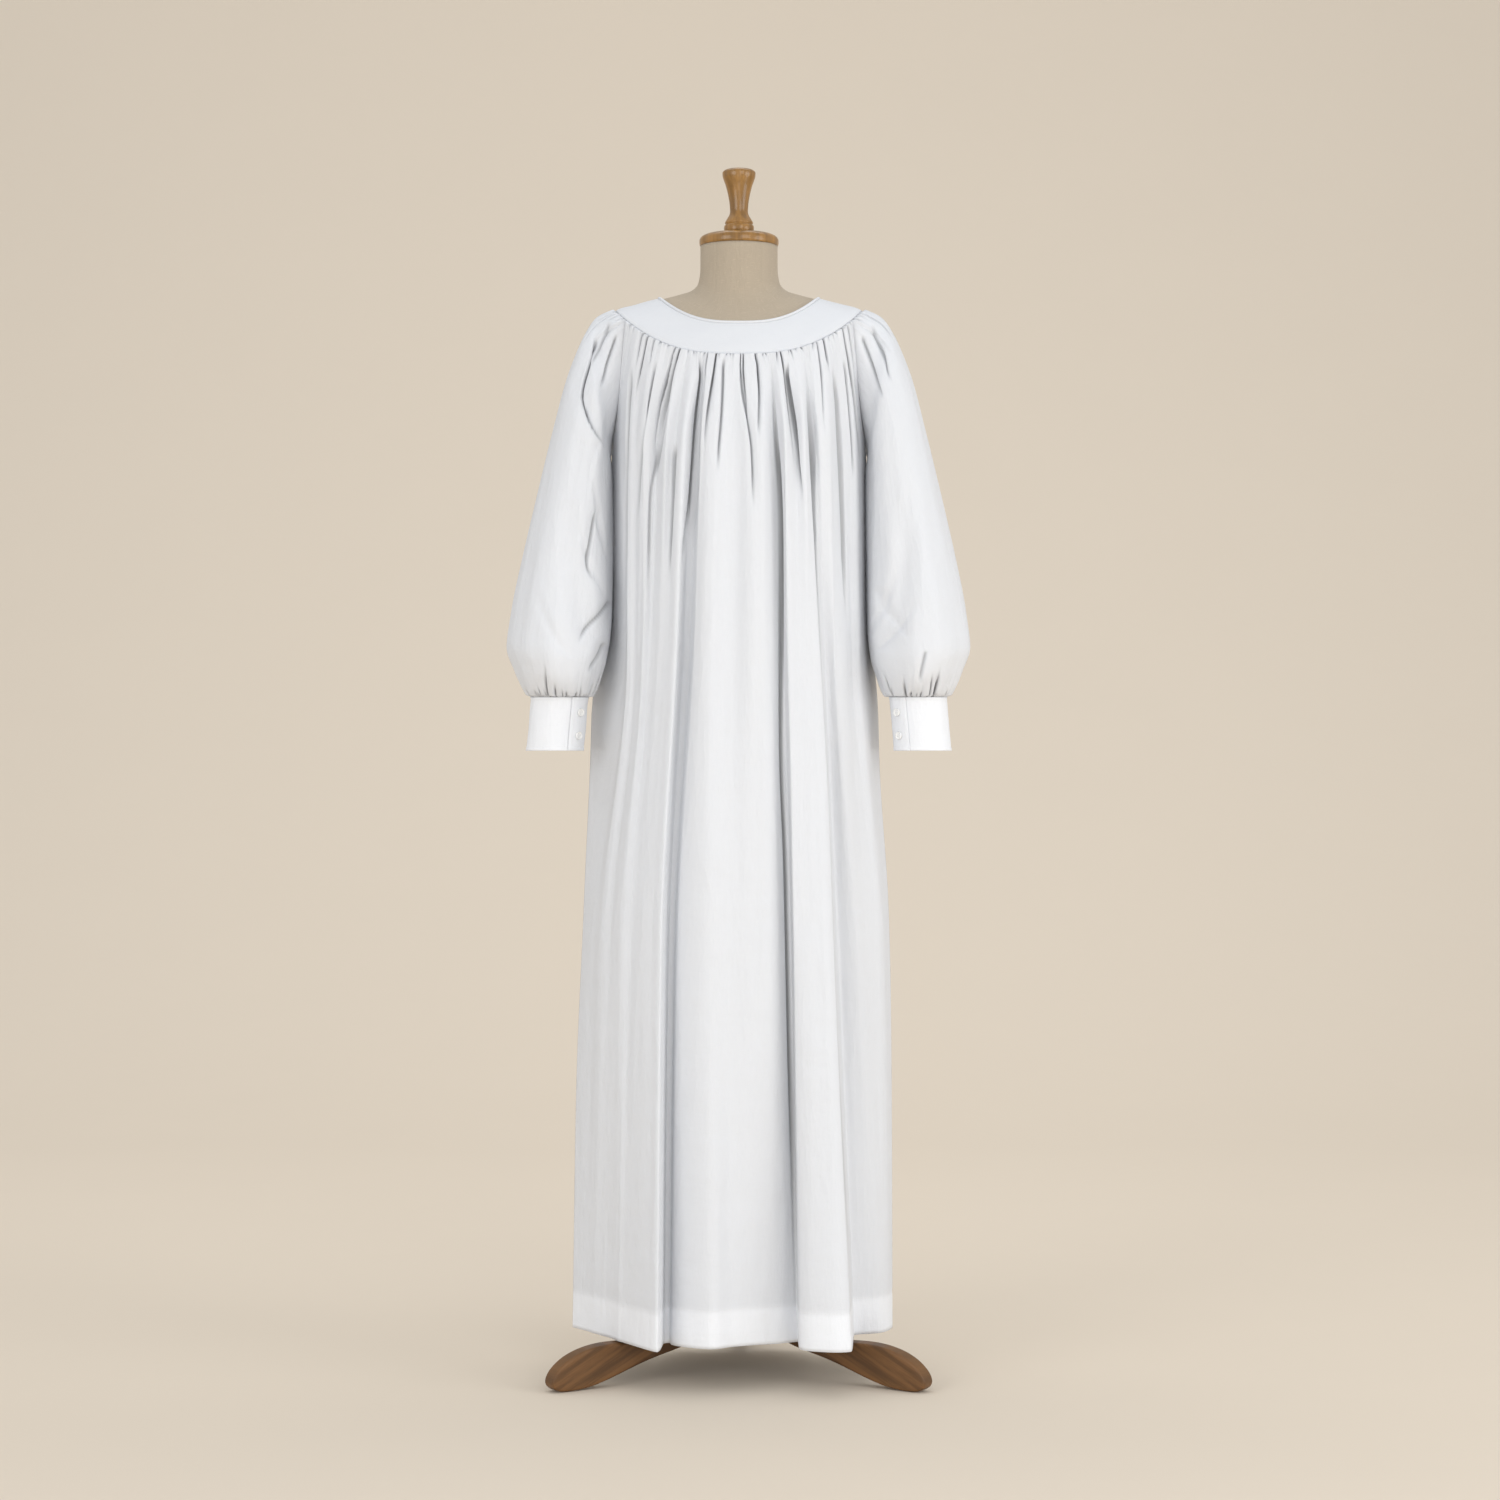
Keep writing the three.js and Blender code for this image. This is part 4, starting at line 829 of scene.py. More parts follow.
def weave_group():
    """Plain weave: threads over and under each other, uneven in thickness."""
    group, tree, given, result = shader_group(
        "Plain weave",
        [
            ("Cloth", "NodeSocketVector", None), ("Threads", "NodeSocketFloat", 1500.0),
            ("Slubs", "NodeSocketFloat", 0.5),
        ],
        [("Height", "NodeSocketFloat"), ("Slub mask", "NodeSocketFloat")],
    )
    apart = tree.add("ShaderNodeSeparateXYZ", {"Vector": given["Cloth"]}).outputs
    turns = [tree.math("MULTIPLY", tree.math("MULTIPLY", way, given["Threads"]), math.tau) for way in apart[:2]]
    crossing = tree.math("MULTIPLY", tree.math("SINE", turns[0]), tree.math("SINE", turns[1]))
    along_u = tree.noise(tree.stretched(given["Cloth"], (60, 900, 1)), 1.0, 2.0)
    along_v = tree.noise(tree.stretched(given["Cloth"], (900, 60, 1)), 1.0, 2.0)
    slubs = tree.spread(tree.math("MAXIMUM", along_u, along_v), 0.55, 0.8)
    height = tree.math("ADD", tree.math("MULTIPLY", crossing, 0.5), tree.math("MULTIPLY", slubs, given["Slubs"]))
    tree.link(height, result["Height"])
    tree.link(slubs, result["Slub mask"])
    return group


def crumple_group():
    """Soft creases of worn cloth, longer down the cloth than across it."""
    group, tree, given, result = shader_group(
        "Soft crumples",
        [("Cloth", "NodeSocketVector", None), ("Size", "NodeSocketFloat", 1.0)],
        [("Height", "NodeSocketFloat")],
    )
    scaled = tree.scaled(given["Cloth"], given["Size"])
    long = tree.noise(tree.stretched(scaled, (34, 7, 1)), 1.0, 4.0, 0.55)
    cross = tree.noise(tree.stretched(scaled, (18, 26, 1)), 1.0, 3.0, 0.5)
    ridge = tree.math("ABSOLUTE", tree.math("SUBTRACT", long, 0.5))
    tree.link(tree.math("SUBTRACT", tree.math("MULTIPLY", cross, 0.6), ridge), result["Height"])
    return group


def grain_group():
    """Wood grain that runs along Z, with fine pores."""
    group, tree, given, result = shader_group(
        "Wood grain",
        [
            ("Vector", "NodeSocketVector", None), ("Light", "NodeSocketColor", (0.5, 0.25, 0.1, 1)),
            ("Dark", "NodeSocketColor", (0.2, 0.09, 0.03, 1)), ("Scale", "NodeSocketFloat", 1.0),
        ],
        [("Color", "NodeSocketColor"), ("Height", "NodeSocketFloat")],
    )
    scaled = tree.scaled(given["Vector"], given["Scale"])
    rings = tree.noise(tree.stretched(scaled, (70, 70, 6)), 1.0, 4.0, 0.6)
    pores = tree.noise(tree.stretched(scaled, (900, 900, 40)), 1.0, 2.0, 0.7)
    bands = tree.spread(rings, 0.35, 0.68)
    colour = tree.mix(bands, given["Dark"], given["Light"])
    colour = tree.mix(tree.math("MULTIPLY", tree.spread(pores, 0.6, 0.75), 0.45), colour, given["Dark"])
    tree.link(colour, result["Color"])
    tree.link(tree.math("SUBTRACT", bands, pores), result["Height"])
    return group


def wear_group():
    """Where a surface is rubbed or marked: 1 in a few patches, 0 elsewhere."""
    group, tree, given, result = shader_group(
        "Wear patches",
        [
            ("Vector", "NodeSocketVector", None), ("Amount", "NodeSocketFloat", 0.3),
            ("Scale", "NodeSocketFloat", 20.0),
        ],
        [("Mask", "NodeSocketFloat")],
    )
    patches = tree.noise(given["Vector"], given["Scale"], 5.0, 0.65)
    low = tree.math("SUBTRACT", 0.78, tree.math("MULTIPLY", given["Amount"], 0.4))
    tree.link(tree.spread(patches, low, 0.85), result["Mask"])
    return group


# ---- Materials ----
SINGLE_LAYER = 0.95  # how white one layer of the cotton is, as a share of two
TUCK_PAINTED_SHADE = 0.66  # share of painted shade mixed into the colour at the bottom of a tuck


def new_material(name):
    """An empty material, and its tree."""
    material = bpy.data.materials.new(name)
    material.use_nodes = True
    material.node_tree.nodes.clear()
    return material, Tree(material.node_tree)


def scaled_colour(colour, by):
    """A colour made darker or paler, with its alpha."""
    return (colour[0] * by, colour[1] * by, colour[2] * by, 1)


def cotton_material(name, groups, colour, crumples, glow):
    """White cotton lawn: fine weave, soft creases, light that comes through where it is a single layer, and painted
    shade at the bottom of each tuck.
    """
    material, tree = new_material(name)
    cloth = tree.add("ShaderNodeUVMap", uv_map="cloth").outputs[0]
    layers = tree.add("ShaderNodeAttribute", attribute_name="layers").outputs["Fac"]
    weave = tree.group(groups["weave"], {"Cloth": cloth, "Threads": 1100.0, "Slubs": 0.5})
    creases = tree.group(groups["crumple"], {"Cloth": cloth, "Size": 1.0})
    normal = tree.bump(creases["Height"], crumples)
    normal = tree.bump(weave["Height"], 0.00012, 0.5, Normal=normal)
    doubled = tree.math("SUBTRACT", layers, 1.0)
    tint = tree.mix(doubled, scaled_colour(colour, SINGLE_LAYER), scaled_colour(colour, 1.0))
    tint = tree.mix(tree.math("MULTIPLY", weave["Slub mask"], 0.25), tint, scaled_colour(colour, 0.88))
    # Painted shade: the colour darkens towards the bottom of each tuck, where the gathers and creases fold in.
    tuck = tree.add("ShaderNodeAttribute", attribute_name="tuck").outputs["Fac"]
    tint = tree.mix(tree.math("MULTIPLY", tuck, TUCK_PAINTED_SHADE), tint, scaled_colour(colour, 0.1))
    cotton = tree.surface({
        "Base Color": tint, "Normal": normal, "Roughness": 0.82, "Sheen Weight": 0.06, "Sheen Roughness": 0.45,
        "Specular IOR Level": 0.25,
    })
    through = tree.add("ShaderNodeBsdfTranslucent", {"Color": tint, "Normal": normal}).outputs[0]
    share = tree.math("DIVIDE", glow, tree.math("MAXIMUM", layers, 1.0))
    tree.finish(tree.add("ShaderNodeMixShader", {0: share, 1: cotton, 2: through}).outputs[0])
    return material


def linen_material(groups, colour):
    """Unbleached linen drawn over the form."""
    material, tree = new_material("Form linen")
    cloth = tree.add("ShaderNodeUVMap", uv_map="cloth").outputs[0]
    weave = tree.group(groups["weave"], {"Cloth": cloth, "Threads": 620.0, "Slubs": 1.2})
    stain = tree.group(groups["wear"], {"Vector": cloth, "Amount": 0.5, "Scale": 9.0})
    tint = tree.mix(weave["Slub mask"], scaled_colour(colour, 0.92), scaled_colour(colour, 1.12))
    tint = tree.mix(tree.math("MULTIPLY", stain["Mask"], 0.35), tint, scaled_colour(colour, 0.72))
    tree.finish(tree.surface({
        "Base Color": tint, "Normal": tree.bump(weave["Height"], 0.0003), "Roughness": 0.92, "Sheen Weight": 0.1,
        "Specular IOR Level": 0.2,
    }))
    return material


def wood_material(name, groups, light, dark, roughness, coat, wear, lengthwise=False):
    """Stained wood with its grain along Z, or along legs that lead away from the pole, worn paler in patches."""
    material, tree = new_material(name)
    place = tree.add("ShaderNodeTexCoord").outputs["Object"]
    if lengthwise:
        away = tree.add("ShaderNodeVectorMath", {0: place, 1: (AXIS_X, AXIS_Y, 0)}, operation="SUBTRACT")
        apart = tree.add("ShaderNodeSeparateXYZ", {"Vector": away.outputs[0]}).outputs
        flat = tree.add("ShaderNodeCombineXYZ", {"X": apart[0], "Y": apart[1]}).outputs[0]
        reach = tree.add("ShaderNodeVectorMath", {0: flat}, operation="LENGTH").outputs["Value"]
        slope = tree.math("ADD", apart[2], tree.math("MULTIPLY", reach, 0.5))
        place = tree.add("ShaderNodeCombineXYZ", {"X": slope, "Z": reach}).outputs[0]
    grain = tree.group(groups["grain"], {"Vector": place, "Light": light, "Dark": dark, "Scale": 1.0})
    rubbed = tree.group(groups["wear"], {"Vector": place, "Amount": wear, "Scale": 26.0})
    tint = tree.mix(tree.math("MULTIPLY", rubbed["Mask"], 0.5), grain["Color"], scaled_colour(light, 1.35))
    gloss = tree.math("ADD", tree.math("MULTIPLY", rubbed["Mask"], 0.25), roughness)
    tree.finish(tree.surface({
        "Base Color": tint, "Roughness": gloss, "Normal": tree.bump(grain["Height"], 0.00015, 0.6),
        "Coat Weight": coat, "Coat Roughness": 0.12, "Specular IOR Level": 0.3,
    }))
    return material


def button_material(groups):
    """Mother-of-pearl, white with a slight coloured sheen."""
    material, tree = new_material("Pearl button")
    place = tree.add("ShaderNodeTexCoord").outputs["Object"]
    cloudy = tree.group(groups["wear"], {"Vector": place, "Amount": 0.9, "Scale": 160.0})
    tint = tree.mix(cloudy["Mask"], (0.84, 0.84, 0.82, 1), (0.78, 0.8, 0.84, 1))
    tree.finish(tree.surface({"Base Color": tint, "Roughness": 0.22, "Coat Weight": 0.4}))
    return material


def plain_material(name, colour, roughness):
    """A dull, slightly mottled finish, as of paper or thread."""
    material, tree = new_material(name)
    place = tree.add("ShaderNodeTexCoord").outputs["Object"]
    mottle = tree.noise(place, 3.0, 4.0)
    tint = tree.mix(mottle, scaled_colour(colour, 0.985), scaled_colour(colour, 1.0))
    tree.finish(tree.surface({"Base Color": tint, "Roughness": roughness, "Specular IOR Level": 0.1}))
    return material


def material_of(name):
    """The material of that name, which the materials operator has made."""
    material = bpy.data.materials.get(name)
    if material is None:
        raise RuntimeError(f"the material {name} isn't made yet: run the materials operator first")
    return material


# ---- Hard pieces ----
def turn_profile(name, profile, sides, material, node, bevel=0.0):
    """Turns a piece on the pole's axis: a disc drawn out ring by ring down its profile, in millimetres."""
    rings = [(radius / 1000, height / 1000) for radius, height in profile if radius > 0]
    radius, height = rings[0]
    bpy.ops.object.select_all(action="DESELECT")
    middle = (AXIS_X, AXIS_Y, height)
    bpy.ops.mesh.primitive_circle_add(vertices=sides, radius=radius, fill_type="NGON", location=middle)
    piece = bpy.context.object
    piece.name = piece.data.name = name
    bpy.ops.object.transform_apply(location=True)
    edit_all()
    for wide, low in rings[1:]:
        bpy.ops.mesh.extrude_region_move(TRANSFORM_OT_translate={"value": (0, 0, low - height)})
        bpy.ops.transform.resize(value=(wide / radius, wide / radius, 1), center_override=(AXIS_X, AXIS_Y, low))
        radius, height = wide, low
    close_up()
    if bevel:
        bevel_edges(piece, "worn edges", bevel / 1000, 3, 35)
        apply_modifiers(piece)
    only(piece)
    bpy.ops.object.shade_smooth_by_angle(angle=math.radians(40))
    piece.data.materials.append(material)
    finish_piece(piece, node)


def fine_profile(profile):
    """The profile of a turned piece with three rows for each of its own."""
    at = np.linspace(0, len(profile) - 1, (len(profile) - 1) * 3 + 1)
    return along(np.arange(len(profile)), np.array(profile, float), at).tolist()


# ---- The operators ----
class ROCHET_PG_settings(bpy.types.PropertyGroup):
    """Sizes and colours of the rochet and its stand."""

    gather_height: bpy.props.FloatProperty(
        name="Gather height", description="How far a full gather stands out, in millimetres", default=7.5, min=0,
        max=12,
    )
    cloth_thickness: bpy.props.FloatProperty(
        name="Cloth thickness", description="Thickness of a single layer, in millimetres", default=0.5, min=0.2, max=2
    )
    crease_depth: bpy.props.FloatProperty(
        name="Crease depth", description="Depth of the small creases in the cloth", default=0.0035, min=0, max=0.02,
        subtype="DISTANCE", unit="LENGTH",
    )
    glow: bpy.props.FloatProperty(
        name="Light through the cloth", description="Share of the light that a single layer lets through",
        default=0.2, min=0, max=0.8, subtype="FACTOR",
    )
    cotton: bpy.props.FloatVectorProperty(
        name="Cotton", description="Colour of the rochet", default=(0.855, 0.873, 0.908), size=3, min=0, max=1,
        subtype="COLOR",
    )
    linen: bpy.props.FloatVectorProperty(
        name="Form linen", description="Colour of the form's cover", default=(0.5, 0.42, 0.32), size=3, min=0, max=1,
        subtype="COLOR",
    )
    turned_wood: bpy.props.FloatVectorProperty(
        name="Finial wood", description="Pale colour of the finial's and the cap's wood",
        default=(0.35, 0.178, 0.045), size=3, min=0, max=1, subtype="COLOR",
    )
    stand_wood: bpy.props.FloatVectorProperty(
        name="Stand wood", description="Pale colour of the stand's wood", default=(0.175, 0.083, 0.029), size=3,
        min=0, max=1, subtype="COLOR",
    )
    backdrop: bpy.props.FloatVectorProperty(
        name="Backdrop", description="Colour of the floor and the backdrop", default=(0.7, 0.62, 0.52), size=3,
        min=0, max=1, subtype="COLOR",
    )
    light_power: bpy.props.FloatProperty(
        name="Light", description="Power of the main light, in watts", default=90, min=0, max=2000
    )


class ROCHET_OT_materials(bpy.types.Operator):
    """Make the cotton, linen, wood, pearl and backdrop materials"""

    bl_idname = "rochet.materials"
    bl_label = "Materials"

    def execute(self, context):
        props = context.scene.rochet
        groups = {"weave": weave_group(), "crumple": crumple_group(), "grain": grain_group(), "wear": wear_group()}
        cotton_material("Cotton lawn", groups, props.cotton, props.crease_depth, props.glow)
        # Painted shade: the yoke's cotton is a darker copy of the body's, for how the light falls on the yoke.
        yoke = scaled_colour(props.cotton, 0.885)
        cotton_material("Cotton yoke", groups, yoke, props.crease_depth * 0.25, props.glow * 1.2)
        linen_material(groups, props.linen)
        wood = (*props.turned_wood, 1)
        wood_material("Turned wood", groups, wood, scaled_colour(wood, 0.55), 0.3, 0.4, 0.25)
        wood = (*props.stand_wood, 1)
        wood_material("Stand wood", groups, wood, scaled_colour(wood, 0.5), 0.5, 0.04, 0.6, lengthwise=True)
        button_material(groups)
        plain_material("Backdrop paper", props.backdrop, 0.95)
        plain_material("Sewing thread", (0.86, 0.86, 0.87), 0.8)
        return {"FINISHED"}


class ROCHET_OT_body(bpy.types.Operator):
    """Build the gathered front and back with their hems"""

    bl_idname = "rochet.body"
    bl_label = "Front and back"

    def execute(self, context):
        props = context.scene.rochet
        cotton = material_of("Cotton lawn")
        for name, panel in PANELS.items():
            grid, falls, tuck = hung_panel(name, props.gather_height)
            layers = 1 + smooth((HEM + HEM_DEPTH + 1.5 - falls) / 1.5)[:, None]
            piece = sheet_piece(
                f"cloth_{name}", grid, cotton, name, props.cloth_thickness, name == "back",
                layers=layers, tuck=tuck,
            )
        return {"FINISHED"}


def yoke_waves(degrees, level):
    """How uneven the yoke's face is, in millimetres."""
    return 0.35 * np.sin(np.radians(degrees) * 9 + level * 3) * np.sin((level - 5) * 1.5)


class ROCHET_OT_yoke(bpy.types.Operator):
    """Build the yoke's two halves and the binding round its neck edge"""

    bl_idname = "rochet.yoke"
    bl_label = "Yoke and neck binding"

    def execute(self, context):
        # The yoke and its binding take the darker cotton, whose colour holds painted shade.
        cloth = material_of("Cotton yoke")
        levels = np.linspace(YOKE_START, YOKE_END + 0.012, 26)
        for name, start in (("yoke_front", -90), ("yoke_back", 90)):
            degrees = np.linspace(start, start + 180, 150)
            edge = smooth((levels - YOKE_END + 0.12) / 0.06)[:, None]
            lift = YOKE_LIFT + YOKE_WALL + yoke_waves(degrees, levels[:, None]) + 0.5 * edge
            grid = on_form(degrees[None], levels[:, None], lift)
            piece = sheet_piece(f"cloth_{name}", grid, cloth, name, YOKE_CLOTH, layers=2.0)
        self.bind_neck(cloth)
        return {"FINISHED"}

    def bind_neck(self, cloth):
        """A rolled binding round the neck edge."""
        degrees = np.linspace(0, 360, 180, endpoint=False)
        middle = on_form(degrees, np.full_like(degrees, 4.94), 2.3)
        out = out_of_form(degrees, np.full_like(degrees, 4.93))
        way = unit(np.roll(middle, -1, axis=0) - np.roll(middle, 1, axis=0))
        up = unit(np.cross(out, way))
        turn = np.radians(np.arange(0, 360, 30))[:, None, None]
        ring = middle[None] + (out[None] * np.sin(turn) + up[None] * np.cos(turn)) * 2.0
        rolled = np.concatenate([ring, ring[:1]])
        piece = new_object("neck_binding_roll", cloth_mesh("neck_binding_roll", rolled, closed=True), cloth)
        add_measure(piece, "layers", np.full(rolled.shape[:2], 2.0))
        only(piece)
        edit_all()
        bpy.ops.mesh.remove_doubles(threshold=0.00001)
        close_up()
        finish_piece(piece, "neck_binding")


class ROCHET_OT_sleeves(bpy.types.Operator):
    """Build the two full sleeves"""

    bl_idname = "rochet.sleeves"
    bl_label = "Sleeves"

    def execute(self, context):
        props = context.scene.rochet
        cotton = material_of("Cotton lawn")
        for name, side, seed in (("left", -1, 4.1), ("right", 1, 1.3)):
            head, wrist = strips(17, seed, 22, 90), strips(24, seed + 2, 32, 60)
            grid, tuck = full_sleeve(side, head, wrist, props.gather_height)
            piece = sheet_piece(
                f"cloth_sleeve_{name}", mirror_side(grid, side), cotton, f"sleeve_{name}",
                props.cloth_thickness, side < 0, closed=True, tuck=tuck,
            )
        return {"FINISHED"}


def one_stitch():
    """A stitch along X: a short spindle of thread, fatter at its middle."""
    bpy.ops.object.select_all(action="DESELECT")
    bpy.ops.mesh.primitive_uv_sphere_add(segments=4, ring_count=3, radius=1, rotation=(0, math.pi / 2, 0))
    stitch = bpy.context.object
    bpy.ops.object.transform_apply(location=False, rotation=True, scale=False)
    edit_all()
    bpy.ops.transform.resize(value=(STITCH["long"] / 2, STITCH["thick"] / 2, STITCH["thick"] / 2))
    bpy.ops.object.mode_set(mode="OBJECT")
    return stitch


def sew(name, rows, node):
    """One piece of all the stitches along rows of (points, normals) on a CAD node's cloth, in millimetres."""
    stitch = one_stitch()
    shape = np.array([corner.co for corner in stitch.data.vertices])
    faces = [list(face.vertices) for face in stitch.data.polygons]
    bpy.data.objects.remove(stitch)
    corners, sides = [], []
    for line, out in rows:
        run = lengths_along(line)
        for at in np.arange(STITCH["pitch"], run[-1] - STITCH["pitch"], STITCH["pitch"]):
            middle, ahead, up = (
                np.array([np.interp(length, run, values[:, k]) for k in range(3)])
                for length, values in ((at, line), (at + 0.5, line), (at, out))
            )
            way = unit(ahead - middle)
            across = unit(np.cross(up, way))
            placed = middle + up * 0.08 + shape @ np.array([way, across, np.cross(way, across)])
            sides += [[k + len(corners) for k in face] for face in faces]
            corners += list(in_scene(placed))
    mesh = bpy.data.meshes.new(name)
    mesh.from_pydata([tuple(corner) for corner in corners], [], sides)
    mesh.polygons.foreach_set("use_smooth", np.ones(len(mesh.polygons), bool))
    finish_piece(new_object(name, mesh, material_of("Sewing thread")), node)


class ROCHET_OT_stitching(bpy.types.Operator):
    """Sew the hem, the yoke's edges and the cuffs' edges"""

    bl_idname = "rochet.stitching"
    bl_label = "Stitching"

    def execute(self, context):
        for name in PANELS:
            grid, falls, _ = hung_panel(name, context.scene.rochet.gather_height)
            out = grid_normals(grid) * (-1 if name == "back" else 1)
            row = int(np.argmin(np.abs(falls - HEM - HEM_DEPTH)))
            sew(f"stitches_{name}", [(grid[row, 2:-2], out[row, 2:-2])], name)
        for name, start in (("yoke_front", -89), ("yoke_back", 91)):
            degrees = np.linspace(start, start + 178, 400)
            rows = []
            for level in (YOKE_START + 0.14, YOKE_END - 0.16):
                line = on_form(degrees, level, YOKE_LIFT + YOKE_WALL + yoke_waves(degrees, level))
                rows.append((line, unit(out_of_form(degrees, level))))
            sew(f"stitches_{name}", rows, name)
        last = 0.985
        for name, side in SIDES:
            share = np.linspace(0.01, last, 300)
            rows = [cuff_face(share, drop, side) for drop in (3.5, CUFF["height"] - 5.5)]
            rows.append(cuff_face(last, np.linspace(5, CUFF["height"] - 6, 60), side))
            sew(f"stitches_cuff_{name}", rows, f"cuff_{name}")
        return {"FINISHED"}


class ROCHET_OT_cuffs(bpy.types.Operator):
    """Build the two cuffs, whose far ends lap over their starts"""

    bl_idname = "rochet.cuffs"
    bl_label = "Cuffs"

    def execute(self, context):
        cloth = material_of("Cotton lawn")
        share = np.linspace(0, 1, 170)
        drops = np.linspace(-0.25, CUFF["height"], 40)
        for name, side in SIDES:
            grid, _ = cuff_face(share, drops[:, None], side)
            piece = sheet_piece(
                f"cloth_cuff_{name}", grid, cloth, f"cuff_{name}", CUFF_CLOTH, side < 0, layers=2.0
            )
        return {"FINISHED"}


class ROCHET_OT_buttons(bpy.types.Operator):
    """Build the pearl buttons on the cuffs"""

    bl_idname = "rochet.buttons"
    bl_label = "Buttons"

    def execute(self, context):
        pattern = self.one_button()
        for name, side in SIDES:
            for i, drop in enumerate(BUTTON_DROPS):
                self.place(pattern, f"button_{name}_{i + 1}", side, drop)
        bpy.data.objects.remove(pattern)
        return {"FINISHED"}

    def one_button(self):
        """A flat button round Z, with a raised rim, and four holes with two bars of thread through them."""
        bpy.ops.object.select_all(action="DESELECT")
        bpy.ops.mesh.primitive_cylinder_add(vertices=40, radius=0.0055, depth=0.0022)
        piece = bpy.context.object
        edit_where(piece, lambda face: face.normal.z > 0.9)
        bpy.ops.mesh.inset(thickness=0.0012)
        bpy.ops.mesh.inset(thickness=0.0004, depth=-0.0007)
        bpy.ops.object.mode_set(mode="OBJECT")
        bevel_edges(piece, "round edges", 0.0003, 2)
        apply_modifiers(piece)
        for x in (-0.0011, 0.0011):
            for y in (-0.0011, 0.0011):
                bpy.ops.object.select_all(action="DESELECT")
                bpy.ops.mesh.primitive_cylinder_add(vertices=12, radius=0.0006, depth=0.01, location=(x, y, 0))
                drill = bpy.context.object
                hole = piece.modifiers.new("hole", "BOOLEAN")
                hole.object, hole.operation = drill, "DIFFERENCE"
                apply_modifiers(piece)
                bpy.data.objects.remove(drill)
        pearl = len(piece.data.polygons)
        for y in (-0.0011, 0.0011):
            bpy.ops.object.select_all(action="DESELECT")
            bpy.ops.mesh.primitive_cylinder_add(
                vertices=8, radius=0.00032, depth=0.0027, location=(0, y, 0.0006), rotation=(0, math.pi / 2, 0)
            )
            piece.select_set(True)
            bpy.context.view_layer.objects.active = piece
            bpy.ops.object.join()
        for face in piece.data.polygons[pearl:]:
            face.material_index = 1
        only(piece)
        bpy.ops.object.shade_smooth_by_angle(angle=math.radians(35))
        return piece

    def place(self, pattern, name, side, drop):
        """Sets a button on a cuff, over the lap and square to it."""
        out = cuff_out(BUTTON_PLACE)
        share = (1 + BUTTON_PLACE - CUFF_START) / (1 + CUFF_LAP)
        middle = cuff_band(np.array(share), drop) + out * (BUTTON_THICK / 2 + 0.5)
        turn = Vector(mirror_side(out, side)).to_track_quat("Z", "Y").to_matrix().to_4x4()
        matrix = Matrix.Translation(Vector(in_scene(mirror_side(middle, side)))) @ turn
        finish_piece(placed_copy(pattern, f"pearl_{name}", matrix, "Pearl button", "Sewing thread"), name)


class ROCHET_OT_form(bpy.types.Operator):
    """Build the dress form in its linen cover"""

    bl_idname = "rochet.form"
    bl_label = "Dress form"

    def execute(self, context):
        degrees = np.linspace(0, 360, 240, endpoint=False)
        levels = np.concatenate([np.linspace(0, 7, 60, endpoint=False), np.linspace(7, 14, 50)])
        seams = np.abs((degrees + 10) % 36 - 10)
        grid = on_form(degrees[None], levels[:, None], -0.54 * np.exp(-((seams / 1.2) ** 2)))
        middle = grid.mean(axis=1, keepdims=True)
        rings = [middle[:1] + (grid[:1] - middle[:1]) * share for share in (0.05, 0.5, 0.94)]
        low = [middle[-1:] + (grid[-1:] - middle[-1:]) * share for share in (0.94, 0.5, 0.05)]
        grid = np.concatenate([*rings, grid, *low])
        piece = new_object("form_cover", cloth_mesh("form_cover", grid, closed=True), material_of("Form linen"))
        only(piece)
        bpy.ops.object.mode_set(mode="EDIT")
        bpy.ops.mesh.select_all(action="DESELECT")
        bpy.ops.mesh.select_non_manifold()
        bpy.ops.mesh.edge_face_add()
        bpy.ops.object.mode_set(mode="OBJECT")
        finish_piece(piece, "form_torso")
        return {"FINISHED"}


class ROCHET_OT_turnings(bpy.types.Operator):
    """Turn the finial, the neck cap, the hub and the pole"""

    bl_idname = "rochet.turnings"
    bl_label = "Turned wood"

    def execute(self, context):
        varnished, stained = material_of("Turned wood"), material_of("Stand wood")
        turn_profile("turned_finial", fine_profile(FINIAL), 64, varnished, "finial", 0.4)
        turn_profile("turned_cap", fine_profile(NECK_CAP), 96, varnished, "neck_cap")
        turn_profile("turned_hub", fine_profile(HUB), 64, stained, "hub", 1.2)
        turn_profile("turned_pole", POLE, 48, stained, "pole")
        return {"FINISHED"}


